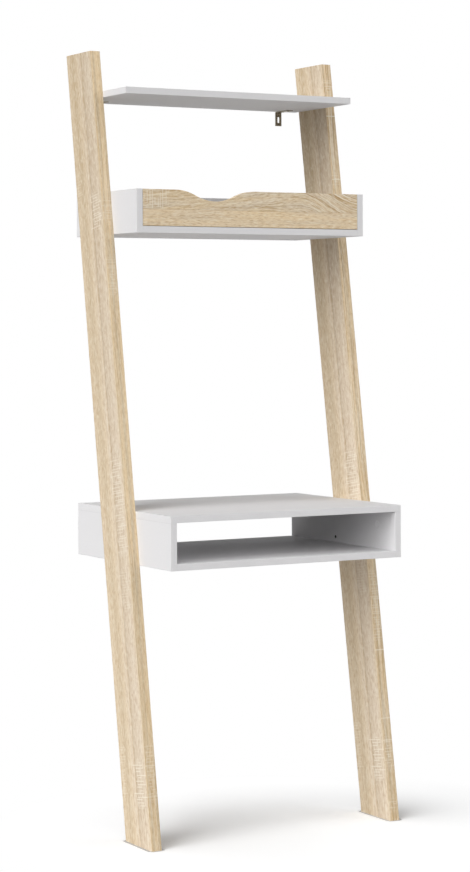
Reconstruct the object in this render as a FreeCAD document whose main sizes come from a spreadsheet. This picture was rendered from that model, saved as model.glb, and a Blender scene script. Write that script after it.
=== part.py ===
import FreeCAD, Part
import math
import os
import re
import Sketcher

# Leaning ladder desk: two sloping legs carry a desk with an open compartment, a shallow case
# with a drawer on roller runners, and a top shelf that two angle brackets hold to the wall.
#
# Frame: millimetres, +Z up, floor at Z = 0, X to the right as seen from the front,
# wall at Y = +desk_depth / 2, so the origin is the bottom centre of the whole desk.

SIZES = (
    ("inner_width", 600, "clear width between the two legs"),
    ("board_thickness", 15, "white melamine boards and drawer front"),
    ("edge_radius", 0.6, "rounding of the board edges"),
    ("leg_width", 125, "leg board, across its length"),
    ("leg_thickness", 25, "leg board"),
    ("leg_height", 1788, "floor to the level cut top"),
    ("lean_run", 290, "how far a foot's back corner stands out from the wall"),
    ("leg_edge_radius", 1, "rounding of the wrapped leg edges"),
    ("shelf_depth", 258, "top shelf, wall to front edge"),
    ("shelf_drop", 92.7, "top of the legs to the shelf's upper face"),
    ("case_depth", 310, "drawer case, wall to front"),
    ("case_height", 99, "drawer case, outside"),
    ("case_drop", 232.8, "shelf's upper face to the top of the drawer case"),
    ("desk_depth", 466, "desk, wall to front edge"),
    ("desk_height", 120, "desk box, outside"),
    ("desk_underside", 618, "height of the desk's underside"),
    ("front_height", 82.5, "drawer front"),
    ("front_gap", 1, "gap round the drawer front"),
    ("scoop_from_left", 187, "drawer front's left end to the middle of its finger scoop"),
    ("scoop_half_width", 104, "middle of the scoop to where it meets the top edge"),
    ("scoop_depth", 25, "deepest point below the top edge"),
    ("drawer_height", 60, "drawer sides and back"),
    ("drawer_rise", 6, "case floor to the drawer's underside"),
    ("hardboard_thickness", 3, "drawer bottom"),
    ("groove_depth", 6, "groove that holds the drawer bottom"),
    ("groove_rise", 14, "drawer's underside to the groove"),
    ("groove_play", 0.5, "gap between the drawer bottom's edge and the end of its groove"),
    ("drawer_cam_rise", 42, "drawer's underside to the cams of its front"),
    ("drawer_dowel_rise", 25, "drawer's underside to the dowels of its front"),
    ("back_screw_rise", 24, "drawer's underside to the lower screws of its back"),
    ("back_screw_spacing", 24, "between the two screws at each end of the drawer's back"),
    ("back_dowel_reach", 200, "middle of the case to the dowels under its back"),
    ("drawer_back_gap", 30, "drawer's back to the case's back"),
    ("runner_space", 12.5, "case side to drawer side"),
    ("runner_gauge", 1.2, "sheet of the runners"),
    ("runner_clearance", 0.6, "between the two members of a runner"),
    ("runner_setback", 2, "drawer front's back face to the case member"),
    ("track_rise", 6, "case floor to the underside of the track"),
    ("runner_seat", 12, "flange of the drawer member under the drawer side"),
    ("flange_clearance", 1, "drawer member's flange to the case member's web"),
    ("case_screw_inset", 35, "end of the case member to its outer screws"),
    ("drawer_screw_front", 25, "front end of the drawer member to its first screw"),
    ("drawer_screw_back", 45, "back end of the drawer member to its last screw"),
    ("lip_opening", 45, "front stretch of the case member without its upper lip"),
    ("roller_radius", 8.5, "nylon rollers"),
    ("roller_width", 6.5, "nylon rollers"),
    ("roller_inset", 12, "end of a runner to its roller's axis"),
    ("roller_side_gap", 0.4, "web to roller"),
    ("roller_chamfer", 0.6, "rim of a roller"),
    ("rolling_gap", 0.3, "roller to the surface that it rolls on"),
    ("roller_play", 0.5, "roller to the surface that it doesn't roll on"),
    ("pin_radius", 2, "roller axle"),
    ("running_clearance", 0.05, "radial, roller on its axle"),
    ("pin_head_radius", 3.5, "riveted end of an axle"),
    ("pin_head_height", 1, "riveted end of an axle"),
    ("pin_end_gap", 0.2, "roller to the head of its axle"),
    ("bracket_inset", 48.5, "leg to the middle of a wall bracket"),
    ("bracket_width", 17, "wall bracket"),
    ("bracket_gauge", 2, "wall bracket"),
    ("bracket_drop", 35, "leg of the bracket on the wall"),
    ("bracket_reach", 57, "leg of the bracket under the shelf"),
    ("bend_radius", 1.5, "inside of the bracket's bend"),
    ("slot_width", 5.5, "slot for the wall screw"),
    ("slot_length", 15, "slot for the wall screw, end to end"),
    ("slot_drop", 20, "shelf's underside to the middle of the slot"),
    ("first_hole", 25, "wall to the first screw hole in the bracket"),
    ("hole_spacing", 25, "between the bracket's two screw holes"),
    ("bracket_hole_radius", 2.1, "screw hole in the bracket"),
    ("cam_radius", 7.4, "cam lock"),
    ("cam_depth", 12, "cam lock"),
    ("cam_setback", 34, "joint face to the middle of a cam"),
    ("cam_inset", 77, "front or back edge of a box to its cams"),
    ("cam_clearance", 0.1, "cam in its hole"),
    ("bolt_head_radius", 3.2, "head of a cam bolt"),
    ("bolt_radius", 3, "shank of a cam bolt"),
    ("bolt_neck_radius", 1.9, "neck that the cam grips"),
    ("bolt_thread_radius", 2.5, "thread of a cam bolt"),
    ("bolt_thread_length", 11, "thread of a cam bolt"),
    ("bolt_end", 2, "end of a cam bolt beyond its cam's axis"),
    ("bolt_head_start", 0.5, "cam's axis to the inner face of the bolt's head"),
    ("bolt_neck_end", 4, "cam's axis to the end of the bolt's neck"),
    ("bolt_collar", 3, "collar of a cam bolt at the joint"),
    ("end_chamfer", 1, "ends of dowels and cam bolts"),
    ("bolt_clearance", 0.3, "cam bolt in its hole"),
    ("cap_radius", 8.5, "plastic cap over a cam"),
    ("cap_thickness", 1, "plastic cap over a cam"),
    ("cap_bevel", 2, "sloping rim of a cap"),
    ("dowel_radius", 4, "beech dowel"),
    ("dowel_length", 30, "beech dowel"),
    ("dowel_bite", 10, "shorter end of a dowel"),
    ("dowel_inset", 40, "front or back edge of a box to its dowels"),
    ("dowel_spread", 40, "middle of the leg to the shelf's dowels"),
    ("fit_clearance", 0.05, "radial, dowels and screws in their holes"),
    ("hole_spare", 0.5, "blind holes beyond the end of what they hold"),
    ("screw_radius", 2, "countersunk screws"),
    ("screw_head_radius", 3.8, "countersunk screws"),
    ("screw_length", 35, "countersunk screws"),
    ("screw_point", 4, "point of a countersunk screw"),
    ("leg_screw_inset", 20, "leg's back edge to the screw that holds a box"),
    ("desk_screw_rise", 28, "desk's underside to its leg screws"),
    ("case_screw_rise", 62, "drawer case's underside to its leg screws"),
    ("leg_dowel_rise", 30, "underside of a box to its lower leg dowels"),
    ("leg_dowel_spacing", 50, "between the lower and upper leg dowels"),
    ("pan_screw_radius", 1.7, "short pan-head screws"),
    ("pan_head_radius", 3.2, "short pan-head screws"),
    ("pan_head_height", 0.9, "short pan-head screws"),
    ("pan_head_bevel", 0.5, "rim of a pan head"),
    ("pan_screw_length", 12, "short pan-head screws, under the head"),
    ("pan_screw_point", 3, "point of a short pan-head screw"),
    ("recess_reach", 1.9, "half the span of a cross recess"),
    ("recess_width", 0.7, "arm of a cross recess"),
    ("recess_depth", 0.6, "cross recess"),
)

SHEET = "Sizes"
ALIASES = re.compile(r"\b(" + "|".join(name for name, _, _ in SIZES) + r")\b")
# Each sketch plane: its role in the body's origin, and the sign of its normal on the third axis.
PLANES = {"XY": ("XY_Plane", 1), "XZ": ("XZ_Plane", -1), "YZ": ("YZ_Plane", 1)}

# Places that several pieces share, as expressions of the sizes.
WALL = "(desk_depth / 2)"
LEG_FACE = "(inner_width / 2)"
INSIDE = "(inner_width / 2 - board_thickness)"
HALF_BOARD = "(board_thickness / 2)"
LEG_SECTION = "(leg_width / cos(atan(lean_run / leg_height)))"
SHELF_TOP = "(leg_height - shelf_drop)"
SHELF_UNDERSIDE = f"({SHELF_TOP} - board_thickness)"
SHELF_MIDDLE = f"({SHELF_TOP} - board_thickness / 2)"
DESK_UNDER_TOP = "(desk_underside + desk_height - board_thickness)"
CASE_TOP = f"({SHELF_TOP} - case_drop)"
CASE_UNDERSIDE = f"({CASE_TOP} - case_height)"
CASE_FLOOR = f"({CASE_UNDERSIDE} + board_thickness)"
CASE_FRONT = "(desk_depth / 2 - case_depth)"
DRAWER_START = f"({CASE_FRONT} + board_thickness)"
RUNNER_LENGTH = "(case_depth - 2 * board_thickness - drawer_back_gap)"
DRAWER_END = f"({DRAWER_START} + {RUNNER_LENGTH})"
DRAWER_FACE = f"({INSIDE} - runner_space)"
DRAWER_INSIDE = f"({DRAWER_FACE} - board_thickness)"
DRAWER_UNDERSIDE = f"({CASE_FLOOR} + drawer_rise)"
DRAWER_TOP = f"({DRAWER_UNDERSIDE} + drawer_height)"
GROOVE = f"({DRAWER_UNDERSIDE} + groove_rise)"
RUNNER_START = f"({DRAWER_START} + runner_setback)"
TRACK = f"({CASE_FLOOR} + track_rise)"
TRACK_TOP = f"({TRACK} + runner_gauge)"
FLANGE = f"({TRACK_TOP} + 2 * roller_radius + roller_play + rolling_gap)"
LIP = f"({FLANGE} + runner_gauge + runner_clearance)"
FRONT_ROLLER_Y = f"({RUNNER_START} + roller_inset)"
FRONT_ROLLER_Z = f"({FLANGE} - rolling_gap - roller_radius)"
REAR_ROLLER_Y = f"({DRAWER_END} - roller_inset)"
REAR_ROLLER_Z = f"({TRACK_TOP} + rolling_gap + roller_radius)"
RUNNER_SCREW_Z = f"(({TRACK_TOP} + {FLANGE}) / 2)"
BRACKET_MIDDLE = f"({LEG_FACE} - bracket_inset)"
LONG_END = "(dowel_length - dowel_bite)"
LONG_HOLE = f"({LONG_END} + hole_spare)"
SHORT_HOLE = "(dowel_bite + hole_spare)"
DOWEL_HOLE = "dowel_radius + fit_clearance"
CAM_HOLE = "cam_radius + cam_clearance"
BOLT_HOLE = "bolt_head_radius + bolt_clearance"
THREAD_HOLE = "bolt_thread_radius + fit_clearance"
SCREW_HOLE = "screw_radius + fit_clearance"
PAN_HOLE = "pan_screw_radius + fit_clearance"
CASE_RUNNER_SCREWS = (
    "case_screw_inset",
    f"{RUNNER_LENGTH} / 2",
    f"{RUNNER_LENGTH} - case_screw_inset",
)
DRAWER_RUNNER_SCREWS = (
    "drawer_screw_front",
    f"{RUNNER_LENGTH} / 2",
    f"{RUNNER_LENGTH} - drawer_screw_back",
)
DRAWER_CAM_Z = f"({DRAWER_UNDERSIDE} + drawer_cam_rise)"
DRAWER_DOWEL_Z = f"({DRAWER_UNDERSIDE} + drawer_dowel_rise)"
BACK_SCREW_HEIGHTS = (
    f"{DRAWER_UNDERSIDE} + back_screw_rise",
    f"{DRAWER_UNDERSIDE} + back_screw_rise + back_screw_spacing",
)
SIDES = ((-1, "left"), (1, "right"))

doc = FreeCAD.newDocument("LadderDesk")
sheet = doc.addObject("Spreadsheet::Sheet", SHEET)
parts = []


# ---------------------------------------------------------------- sheet and sketch helpers


def fill_sheet():
    """Write every driving size with its alias and what it is."""
    for row, (alias, value, meaning) in enumerate(SIZES, start=1):
        sheet.set(f"A{row}", alias)
        sheet.set(f"B{row}", str(value))
        sheet.set(f"C{row}", meaning)
        sheet.setAlias(f"B{row}", alias)
    doc.recompute()


def bound(expression):
    """The expression with the sheet's name before each alias, as setExpression wants it."""
    return ALIASES.sub(SHEET + r".\1", expression)


def number(expression):
    """What an expression of the sizes comes to now."""
    result = sheet.evalExpression(bound(expression))
    return float(getattr(result, "Value", result))


def leg_back(height):
    """Y of the leg's back edge at a height."""
    return f"({WALL} - lean_run * (1 - ({height}) / leg_height))"


def leg_middle(height):
    """Y of the middle of the leg at a height."""
    return f"({leg_back(height)} - {LEG_SECTION} / 2)"


def new_body(label):
    body = doc.addObject("PartDesign::Body", label)
    body.Label = label
    return body


def part(label):
    """A body that is one of the desk's own pieces, and so is written to a file."""
    body = new_body(label)
    parts.append(body)
    return body


def new_sketch(body, name, plane, level):
    """An empty sketch on one of the body's origin planes, moved to a level across it."""
    role, normal = PLANES[plane]
    sketch = body.newObject("Sketcher::SketchObject", name)
    support = next(item for item in body.Origin.OriginFeatures if item.Role == role)
    sketch.AttachmentSupport = [(support, "")]
    sketch.MapMode = "FlatFace"
    sketch.setExpression("AttachmentOffset.Base.z", bound(f"{normal} * ({level})"))
    return sketch


def fix(sketch, geometry, vertex, across, up):
    """Bind both coordinates of one point of a sketch."""
    for kind, expression in (("DistanceX", across), ("DistanceY", up)):
        value = number(expression)
        index = sketch.addConstraint(Sketcher.Constraint(kind, -1, 1, geometry, vertex, value))
        sketch.setExpression(f"Constraints[{index}]", bound(expression))


def set_size(sketch, kind, geometry, expression):
    """Bind one radius of a sketch."""
    index = sketch.addConstraint(Sketcher.Constraint(kind, geometry, number(expression)))
    sketch.setExpression(f"Constraints[{index}]", bound(expression))


def polygon(sketch, corners):
    """A closed outline of straight lines through bound corners."""
    points = [FreeCAD.Vector(number(x), number(y), 0) for x, y in corners]
    count = len(points)
    for k in range(count):
        sketch.addGeometry(Part.LineSegment(points[k], points[(k + 1) % count]), False)
    for k in range(count):
        sketch.addConstraint(Sketcher.Constraint("Coincident", k, 2, (k + 1) % count, 1))
    for k, (x, y) in enumerate(corners):
        fix(sketch, k, 1, x, y)


def rectangle(sketch, left, bottom, right, top):
    """A rectangle held by two opposite corners."""
    low = FreeCAD.Vector(number(left), number(bottom), 0)
    high = FreeCAD.Vector(number(right), number(top), 0)
    corners = (low, FreeCAD.Vector(high.x, low.y, 0), high, FreeCAD.Vector(low.x, high.y, 0))
    for k in range(4):
        sketch.addGeometry(Part.LineSegment(corners[k], corners[(k + 1) % 4]), False)
    for k in range(4):
        sketch.addConstraint(Sketcher.Constraint("Coincident", k, 2, (k + 1) % 4, 1))
        direction = "Horizontal" if k % 2 == 0 else "Vertical"
        sketch.addConstraint(Sketcher.Constraint(direction, k))
    fix(sketch, 0, 1, left, bottom)
    fix(sketch, 2, 1, right, top)


def circles(sketch, spots, radius):
    """One bound circle at each spot."""
    for x, y in spots:
        centre = FreeCAD.Vector(number(x), number(y), 0)
        circle = Part.Circle(centre, FreeCAD.Vector(0, 0, 1), number(radius))
        geometry = sketch.addGeometry(circle, False)
        fix(sketch, geometry, 3, x, y)
        set_size(sketch, "Radius", geometry, radius)


def finish_feature(body, feature):
    """Make the feature the body's result and work it out."""
    body.Tip = feature
    doc.recompute()
    if not feature.isValid() or feature.Shape.isNull():
        raise RuntimeError(f"{body.Label}: {feature.Name} failed")
    return feature


def pad(body, sketch, length, plane, towards):
    """Fill the sketch for a length, towards the + or - end of the axis across its plane."""
    feature = body.newObject("PartDesign::Pad", "Pad")
    feature.Profile = sketch
    feature.Reversed = towards != PLANES[plane][1]
    feature.setExpression("Length", bound(length))
    sketch.Visibility = False
    return finish_feature(body, feature)


def pocket(body, sketch, depth, plane, towards):
    """Cut the sketch for a depth, towards the + or - end of the axis across its plane."""
    before = body.Shape.Volume
    feature = body.newObject("PartDesign::Pocket", "Pocket")
    feature.Profile = sketch
    feature.Reversed = towards == PLANES[plane][1]
    feature.setExpression("Length", bound(depth))
    finish_feature(body, feature)
    if before - feature.Shape.Volume < 0.1 * number(depth):
        raise RuntimeError(f"{body.Label}: {sketch.Label} cuts nothing")
    return feature


def drill(body, name, plane, level, towards, spots, radius, depth):
    """Round blind holes from one face of a piece."""
    sketch = new_sketch(body, name, plane, level)
    circles(sketch, spots, radius)
    return pocket(body, sketch, depth, plane, towards)


def countersink(body, name, plane, level, towards, spots):
    """Through holes for countersunk screws, with the cone in the face at this level."""
    sketch = new_sketch(body, name, plane, level)
    circles(sketch, spots, SCREW_HOLE)
    doc.recompute()
    before = body.Shape.Volume
    hole = body.newObject("PartDesign::Hole", "Hole")
    hole.Profile = sketch
    doc.recompute()
    hole.Reversed = towards == PLANES[plane][1]
    hole.Threaded = False
    hole.DepthType = "ThroughAll"
    hole.HoleCutType = "Countersink"
    hole.HoleCutCustomValues = True
    hole.setExpression("Diameter", bound(f"2 * ({SCREW_HOLE})"))
    hole.setExpression("HoleCutDiameter", bound("2 * (screw_head_radius + fit_clearance)"))
    hole.HoleCutCountersinkAngle = 90
    finish_feature(body, hole)
    if before - hole.Shape.Volume < 1:
        raise RuntimeError(f"{body.Label}: {name} cuts nothing")
    return hole


def round_edges(body, radius, wanted=lambda edge: True):
    """Fillet the edges that the test picks."""
    base = body.Tip
    names = [f"Edge{k}" for k, edge in enumerate(base.Shape.Edges, start=1) if wanted(edge)]
    fillet = body.newObject("PartDesign::Fillet", "Fillet")
    fillet.Base = (base, names)
    fillet.setExpression("Radius", bound(radius))
    return finish_feature(body, fillet)


def board(label, plane, level, outline, thickness="board_thickness"):
    """A flat board: outline as left, bottom, right, top in its plane, thickness across it."""
    body = part(label)
    sketch = new_sketch(body, "Outline", plane, level)
    rectangle(sketch, *outline)
    pad(body, sketch, thickness, plane, 1)
    round_edges(body, "edge_radius")
    return body


# ---------------------------------------------------------------- fasteners


def frame(origin, face, reach):
    """A placement whose own +Z looks along face and whose own +X looks along reach."""
    z = FreeCAD.Vector(*face)
    x = FreeCAD.Vector(*reach)
    y = z.cross(x)
    rotation = FreeCAD.Rotation(x, y, z, "ZXY")
    return FreeCAD.Placement(FreeCAD.Vector(*[number(value) for value in origin]), rotation)


def below_face(places):
    """The same places, sunk from a board's face to the middle of its thickness."""
    step = FreeCAD.Placement(FreeCAD.Vector(0, 0, -number(HALF_BOARD)), FreeCAD.Rotation())
    return [place * step for place in places]


def spin(body, name, corners):
    """Turn a half outline, given as reach and radius, round the body's own X axis."""
    sketch = new_sketch(body, name, "XY", "0")
    polygon(sketch, corners)
    turned = body.newObject("PartDesign::Revolution", "Revolution")
    turned.Profile = sketch
    turned.ReferenceAxis = (sketch, ["H_Axis"])
    turned.Angle = 360
    return finish_feature(body, turned)


def cross_recess(body, plane, level, towards):
    """The driver's cross in a screw head or a cam."""
    long, short = "recess_reach", "recess_width / 2"
    quarter = ((long, short), (short, short), (short, long))
    corners = []
    for across, up in ((1, 1), (-1, 1), (-1, -1), (1, -1)):
        ordered = quarter if across * up > 0 else tuple(reversed(quarter))
        corners += [(f"{across} * {x}", f"{up} * {y}") for x, y in ordered]
    sketch = new_sketch(body, "Recess", plane, level)
    polygon(sketch, corners)
    return pocket(body, sketch, "recess_depth", plane, towards)


def make_cam():
    """Cam lock: face at Z = 0, a channel for the bolt that comes in along +X."""
    body = new_body("cam_pattern")
    sketch = new_sketch(body, "Barrel", "XY", "0")
    circles(sketch, [("0", "0")], "cam_radius")
    pad(body, sketch, "cam_depth", "XY", -1)
    level = f"-{HALF_BOARD}"
    channel = new_sketch(body, "Channel", "YZ", "cam_radius")
    circles(channel, [("0", level)], "bolt_head_radius + bolt_clearance / 2")
    pocket(body, channel, "cam_radius + bolt_head_radius + bolt_clearance", "YZ", -1)
    cross_recess(body, "XY", "0", -1)
    return body


def make_bolt():
    """Cam bolt: head in the cam at X = 0, thread beyond the joint at X = cam_setback."""
    body = new_body("bolt_pattern")
    collar = "cam_setback - bolt_collar"
    end = "cam_setback + bolt_thread_length"
    corners = (
        ("-bolt_end", "0"),
        ("-bolt_end", "bolt_head_radius"),
        ("bolt_head_start", "bolt_head_radius"),
        ("bolt_head_start", "bolt_neck_radius"),
        ("bolt_neck_end", "bolt_neck_radius"),
        ("bolt_neck_end", "bolt_radius"),
        (collar, "bolt_radius"),
        (collar, "bolt_head_radius"),
        ("cam_setback", "bolt_head_radius"),
        ("cam_setback", "bolt_thread_radius"),
        (f"{end} - end_chamfer", "bolt_thread_radius"),
        (end, "bolt_thread_radius - end_chamfer"),
        (end, "0"),
    )
    spin(body, "Profile", corners)
    return body


def make_dowel():
    """Beech dowel on the X axis: short end towards +X, joint at X = 0."""
    body = new_body("dowel_pattern")
    long_end = f"-{LONG_END}"
    corners = (
        (long_end, "0"),
        (long_end, "dowel_radius - end_chamfer"),
        (f"{long_end} + end_chamfer", "dowel_radius"),
        ("dowel_bite - end_chamfer", "dowel_radius"),
        ("dowel_bite", "dowel_radius - end_chamfer"),
        ("dowel_bite", "0"),
    )
    spin(body, "Profile", corners)
    return body


def make_screw():
    """Countersunk screw on the X axis: head flush at X = 0, point towards +X."""
    body = new_body("screw_pattern")
    corners = (
        ("0", "0"),
        ("0", "screw_head_radius"),
        ("screw_head_radius - screw_radius", "screw_radius"),
        ("screw_length - screw_point", "screw_radius"),
        ("screw_length", "0"),
    )
    spin(body, "Profile", corners)
    cross_recess(body, "YZ", "0", 1)
    return body


def make_pan_screw():
    """Pan-head screw on the X axis: underside of the head at X = 0, point towards +X."""
    body = new_body("pan_screw_pattern")
    corners = (
        ("-pan_head_height", "0"),
        ("-pan_head_height", "pan_head_radius - pan_head_bevel"),
        ("-pan_head_height + pan_head_bevel", "pan_head_radius"),
        ("0", "pan_head_radius"),
        ("0", "pan_screw_radius"),
        ("pan_screw_length - pan_screw_point", "pan_screw_radius"),
        ("pan_screw_length", "0"),
    )
    spin(body, "Profile", corners)
    cross_recess(body, "YZ", "-pan_head_height", 1)
    return body


def make_cap():
    """Cap over a cam: domed disc on the X axis, back face at X = 0."""
    body = new_body("cap_pattern")
    corners = (
        ("0", "0"),
        ("cap_thickness", "0"),
        ("cap_thickness", "cap_radius - cap_bevel"),
        ("cap_thickness / 4", "cap_radius"),
        ("0", "cap_radius"),
    )
    spin(body, "Profile", corners)
    return body


def make_pin():
    """Roller axle on the X axis: from the web's far face at X = 0 to its riveted head."""
    body = new_body("pin_pattern")
    head = "(runner_gauge + roller_side_gap + roller_width + pin_end_gap)"
    corners = (
        ("0", "0"),
        ("0", "pin_radius"),
        (head, "pin_radius"),
        (head, "pin_head_radius"),
        (f"{head} + pin_head_height / 2", "pin_head_radius"),
        (f"{head} + pin_head_height", "pin_head_radius - pin_head_height / 2"),
        (f"{head} + pin_head_height", "0"),
    )
    spin(body, "Profile", corners)
    return body


def group(label, pattern, places):
    """Identical fasteners as one node: a copy of the pattern's solid at each place."""
    feature = doc.addObject("Part::Feature", label)
    feature.Label = label
    copies = [pattern.Shape.transformed(place.toMatrix(), True) for place in places]
    feature.Shape = Part.makeCompound(copies)
    feature.Placement = FreeCAD.Placement()
    parts.append(feature)
    return feature


# ---------------------------------------------------------------- where the fasteners are


def joint_rows(depth, inset):
    """Y of a fitting near the back edge and of one near the front edge of a box."""
    return (f"{WALL} - {inset}", f"{WALL} - {depth} + {inset}")


def leg_dowel_spots(underside):
    """Leg dowels of one box, as (Y, Z)."""
    heights = (f"{underside} + leg_dowel_rise", f"{underside} + leg_dowel_rise + leg_dowel_spacing")
    return [(leg_middle(height), height) for height in heights]


def leg_screw_spot(height):
    """Leg screw of one box, as (Y, Z)."""
    return (f"{leg_back(height)} - leg_screw_inset", height)


def shelf_dowel_spots():
    """Dowels between the shelf and a leg, as (Y, Z)."""
    middle = leg_middle(SHELF_MIDDLE)
    return [(f"{middle} + {sign} * dowel_spread", SHELF_MIDDLE) for sign in (-1, 1)]


DESK_SCREW = leg_screw_spot("desk_underside + desk_screw_rise")
CASE_SCREW = leg_screw_spot(f"{CASE_UNDERSIDE} + case_screw_rise")
BACK_MIDDLE_Z = f"(({CASE_FLOOR} + {CASE_TOP}) / 2)"
BACK_MIDDLE_Y = f"({WALL} - {HALF_BOARD})"


# ---------------------------------------------------------------- legs and shelf


def make_leg(side, hand):
    """Sloping leg, cut level at the floor and at the top, drilled in its inner face."""
    body = part(f"{hand}_leg")
    face = f"{side} * {LEG_FACE}"
    sketch = new_sketch(body, "Outline", "YZ", face)
    corners = (
        (f"{WALL} - lean_run - {LEG_SECTION}", "0"),
        (f"{WALL} - lean_run", "0"),
        (WALL, "leg_height"),
        (f"{WALL} - {LEG_SECTION}", "leg_height"),
    )
    polygon(sketch, corners)
    pad(body, sketch, "leg_thickness", "YZ", side)
    round_edges(body, "leg_edge_radius", lambda edge: edge.Length > number("leg_height"))
    box_dowels = leg_dowel_spots("desk_underside") + leg_dowel_spots(CASE_UNDERSIDE)
    drill(body, "BoxDowels", "YZ", face, side, box_dowels, DOWEL_HOLE, LONG_HOLE)
    drill(body, "ShelfDowels", "YZ", face, side, shelf_dowel_spots(), DOWEL_HOLE, SHORT_HOLE)
    bolt = [(leg_middle(SHELF_MIDDLE), SHELF_MIDDLE)]
    drill(body, "ShelfBolt", "YZ", face, side, bolt, THREAD_HOLE, "bolt_thread_length + hole_spare")
    pilot_depth = "screw_length - board_thickness + hole_spare"
    screws = [DESK_SCREW, CASE_SCREW]
    drill(body, "BoxScrews", "YZ", face, side, screws, SCREW_HOLE, pilot_depth)
    return body


def make_shelf():
    """Top shelf between the legs, with its cams in the upper face."""
    outline = (f"-{LEG_FACE}", f"{WALL} - shelf_depth", LEG_FACE, WALL)
    body = board("top_shelf", "XY", SHELF_UNDERSIDE, outline)
    middle = leg_middle(SHELF_MIDDLE)
    cams = [(f"{side} * ({LEG_FACE} - cam_setback)", middle) for side, _ in SIDES]
    drill(body, "Cams", "XY", SHELF_TOP, -1, cams, CAM_HOLE, "cam_depth")
    for side, hand in SIDES:
        end = f"{side} * {LEG_FACE}"
        bolt = [(middle, SHELF_MIDDLE)]
        drill(body, f"{hand}Bolt", "YZ", end, -side, bolt, BOLT_HOLE, "cam_setback")
        drill(body, f"{hand}Dowels", "YZ", end, -side, shelf_dowel_spots(), DOWEL_HOLE, LONG_HOLE)
    spots = [(f"{side} * {BRACKET_MIDDLE}", y) for side, _ in SIDES for y in bracket_rows()]
    pilot = "pan_screw_length - bracket_gauge + hole_spare"
    drill(body, "BracketScrews", "XY", SHELF_UNDERSIDE, 1, spots, PAN_HOLE, pilot)
    return body


def bracket_rows():
    """Y of the two screws that hold a wall bracket to the shelf."""
    return (f"{WALL} - first_hole", f"{WALL} - first_hole - hole_spacing")


def make_bracket(side, hand):
    """Angle bracket: one leg under the shelf, one on the wall with a slot for the wall screw."""
    body = part(f"{hand}_wall_bracket")
    middle = f"{side} * {BRACKET_MIDDLE}"
    sketch = new_sketch(body, "Angle", "YZ", f"{middle} - bracket_width / 2")
    wall_leg = f"{WALL} - bracket_gauge"
    shelf_leg = f"{SHELF_UNDERSIDE} - bracket_gauge"
    foot = f"{SHELF_UNDERSIDE} - bracket_drop"
    corners = (
        (f"{WALL} - bracket_reach", shelf_leg),
        (wall_leg, shelf_leg),
        (wall_leg, foot),
        (WALL, foot),
        (WALL, SHELF_UNDERSIDE),
        (f"{WALL} - bracket_reach", SHELF_UNDERSIDE),
    )
    polygon(sketch, corners)
    pad(body, sketch, "bracket_width", "YZ", 1)
    round_edges(body, "bend_radius", lambda edge: runs_at(edge, wall_leg, shelf_leg))
    round_edges(
        body, "bend_radius + bracket_gauge", lambda edge: runs_at(edge, WALL, SHELF_UNDERSIDE)
    )
    slot = new_sketch(body, "Slot", "XZ", WALL)
    upright_slot(slot, middle, f"{SHELF_UNDERSIDE} - slot_drop", "slot_length", "slot_width / 2")
    pocket(body, slot, "bracket_gauge", "XZ", -1)
    spots = [(middle, y) for y in bracket_rows()]
    level = SHELF_UNDERSIDE
    drill(body, "Holes", "XY", level, -1, spots, "bracket_hole_radius", "bracket_gauge")
    return body


def runs_at(edge, y, z):
    """Whether an edge runs along X at this Y and Z."""
    ends = [vertex.Point for vertex in edge.Vertexes]
    target = (number(y), number(z))
    return all(math.dist((end.y, end.z), target) < 1e-6 for end in ends)


def upright_slot(sketch, x, z, length, radius):
    """A slot with round ends that runs up and down."""
    r = number(radius)
    half = number(f"({length}) / 2") - r
    cx, cz = number(x), number(z)
    up = FreeCAD.Vector(0, 0, 1)
    top = Part.Circle(FreeCAD.Vector(cx, cz + half, 0), up, r)
    low = Part.Circle(FreeCAD.Vector(cx, cz - half, 0), up, r)
    sketch.addGeometry(Part.ArcOfCircle(top, 0, math.pi), False)
    left = Part.LineSegment(FreeCAD.Vector(cx - r, cz + half, 0), FreeCAD.Vector(cx - r, cz - half, 0))
    sketch.addGeometry(left, False)
    sketch.addGeometry(Part.ArcOfCircle(low, math.pi, 2 * math.pi), False)
    right = Part.LineSegment(FreeCAD.Vector(cx + r, cz - half, 0), FreeCAD.Vector(cx + r, cz + half, 0))
    sketch.addGeometry(right, False)
    for k in range(4):
        sketch.addConstraint(Sketcher.Constraint("Tangent", k, 2, (k + 1) % 4, 1))
    offset = f"({length}) / 2 - ({radius})"
    fix(sketch, 0, 3, x, f"{z} + {offset}")
    fix(sketch, 2, 3, x, f"{z} - ({offset})")
    set_size(sketch, "Radius", 0, radius)


# ---------------------------------------------------------------- desk and drawer case


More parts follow.
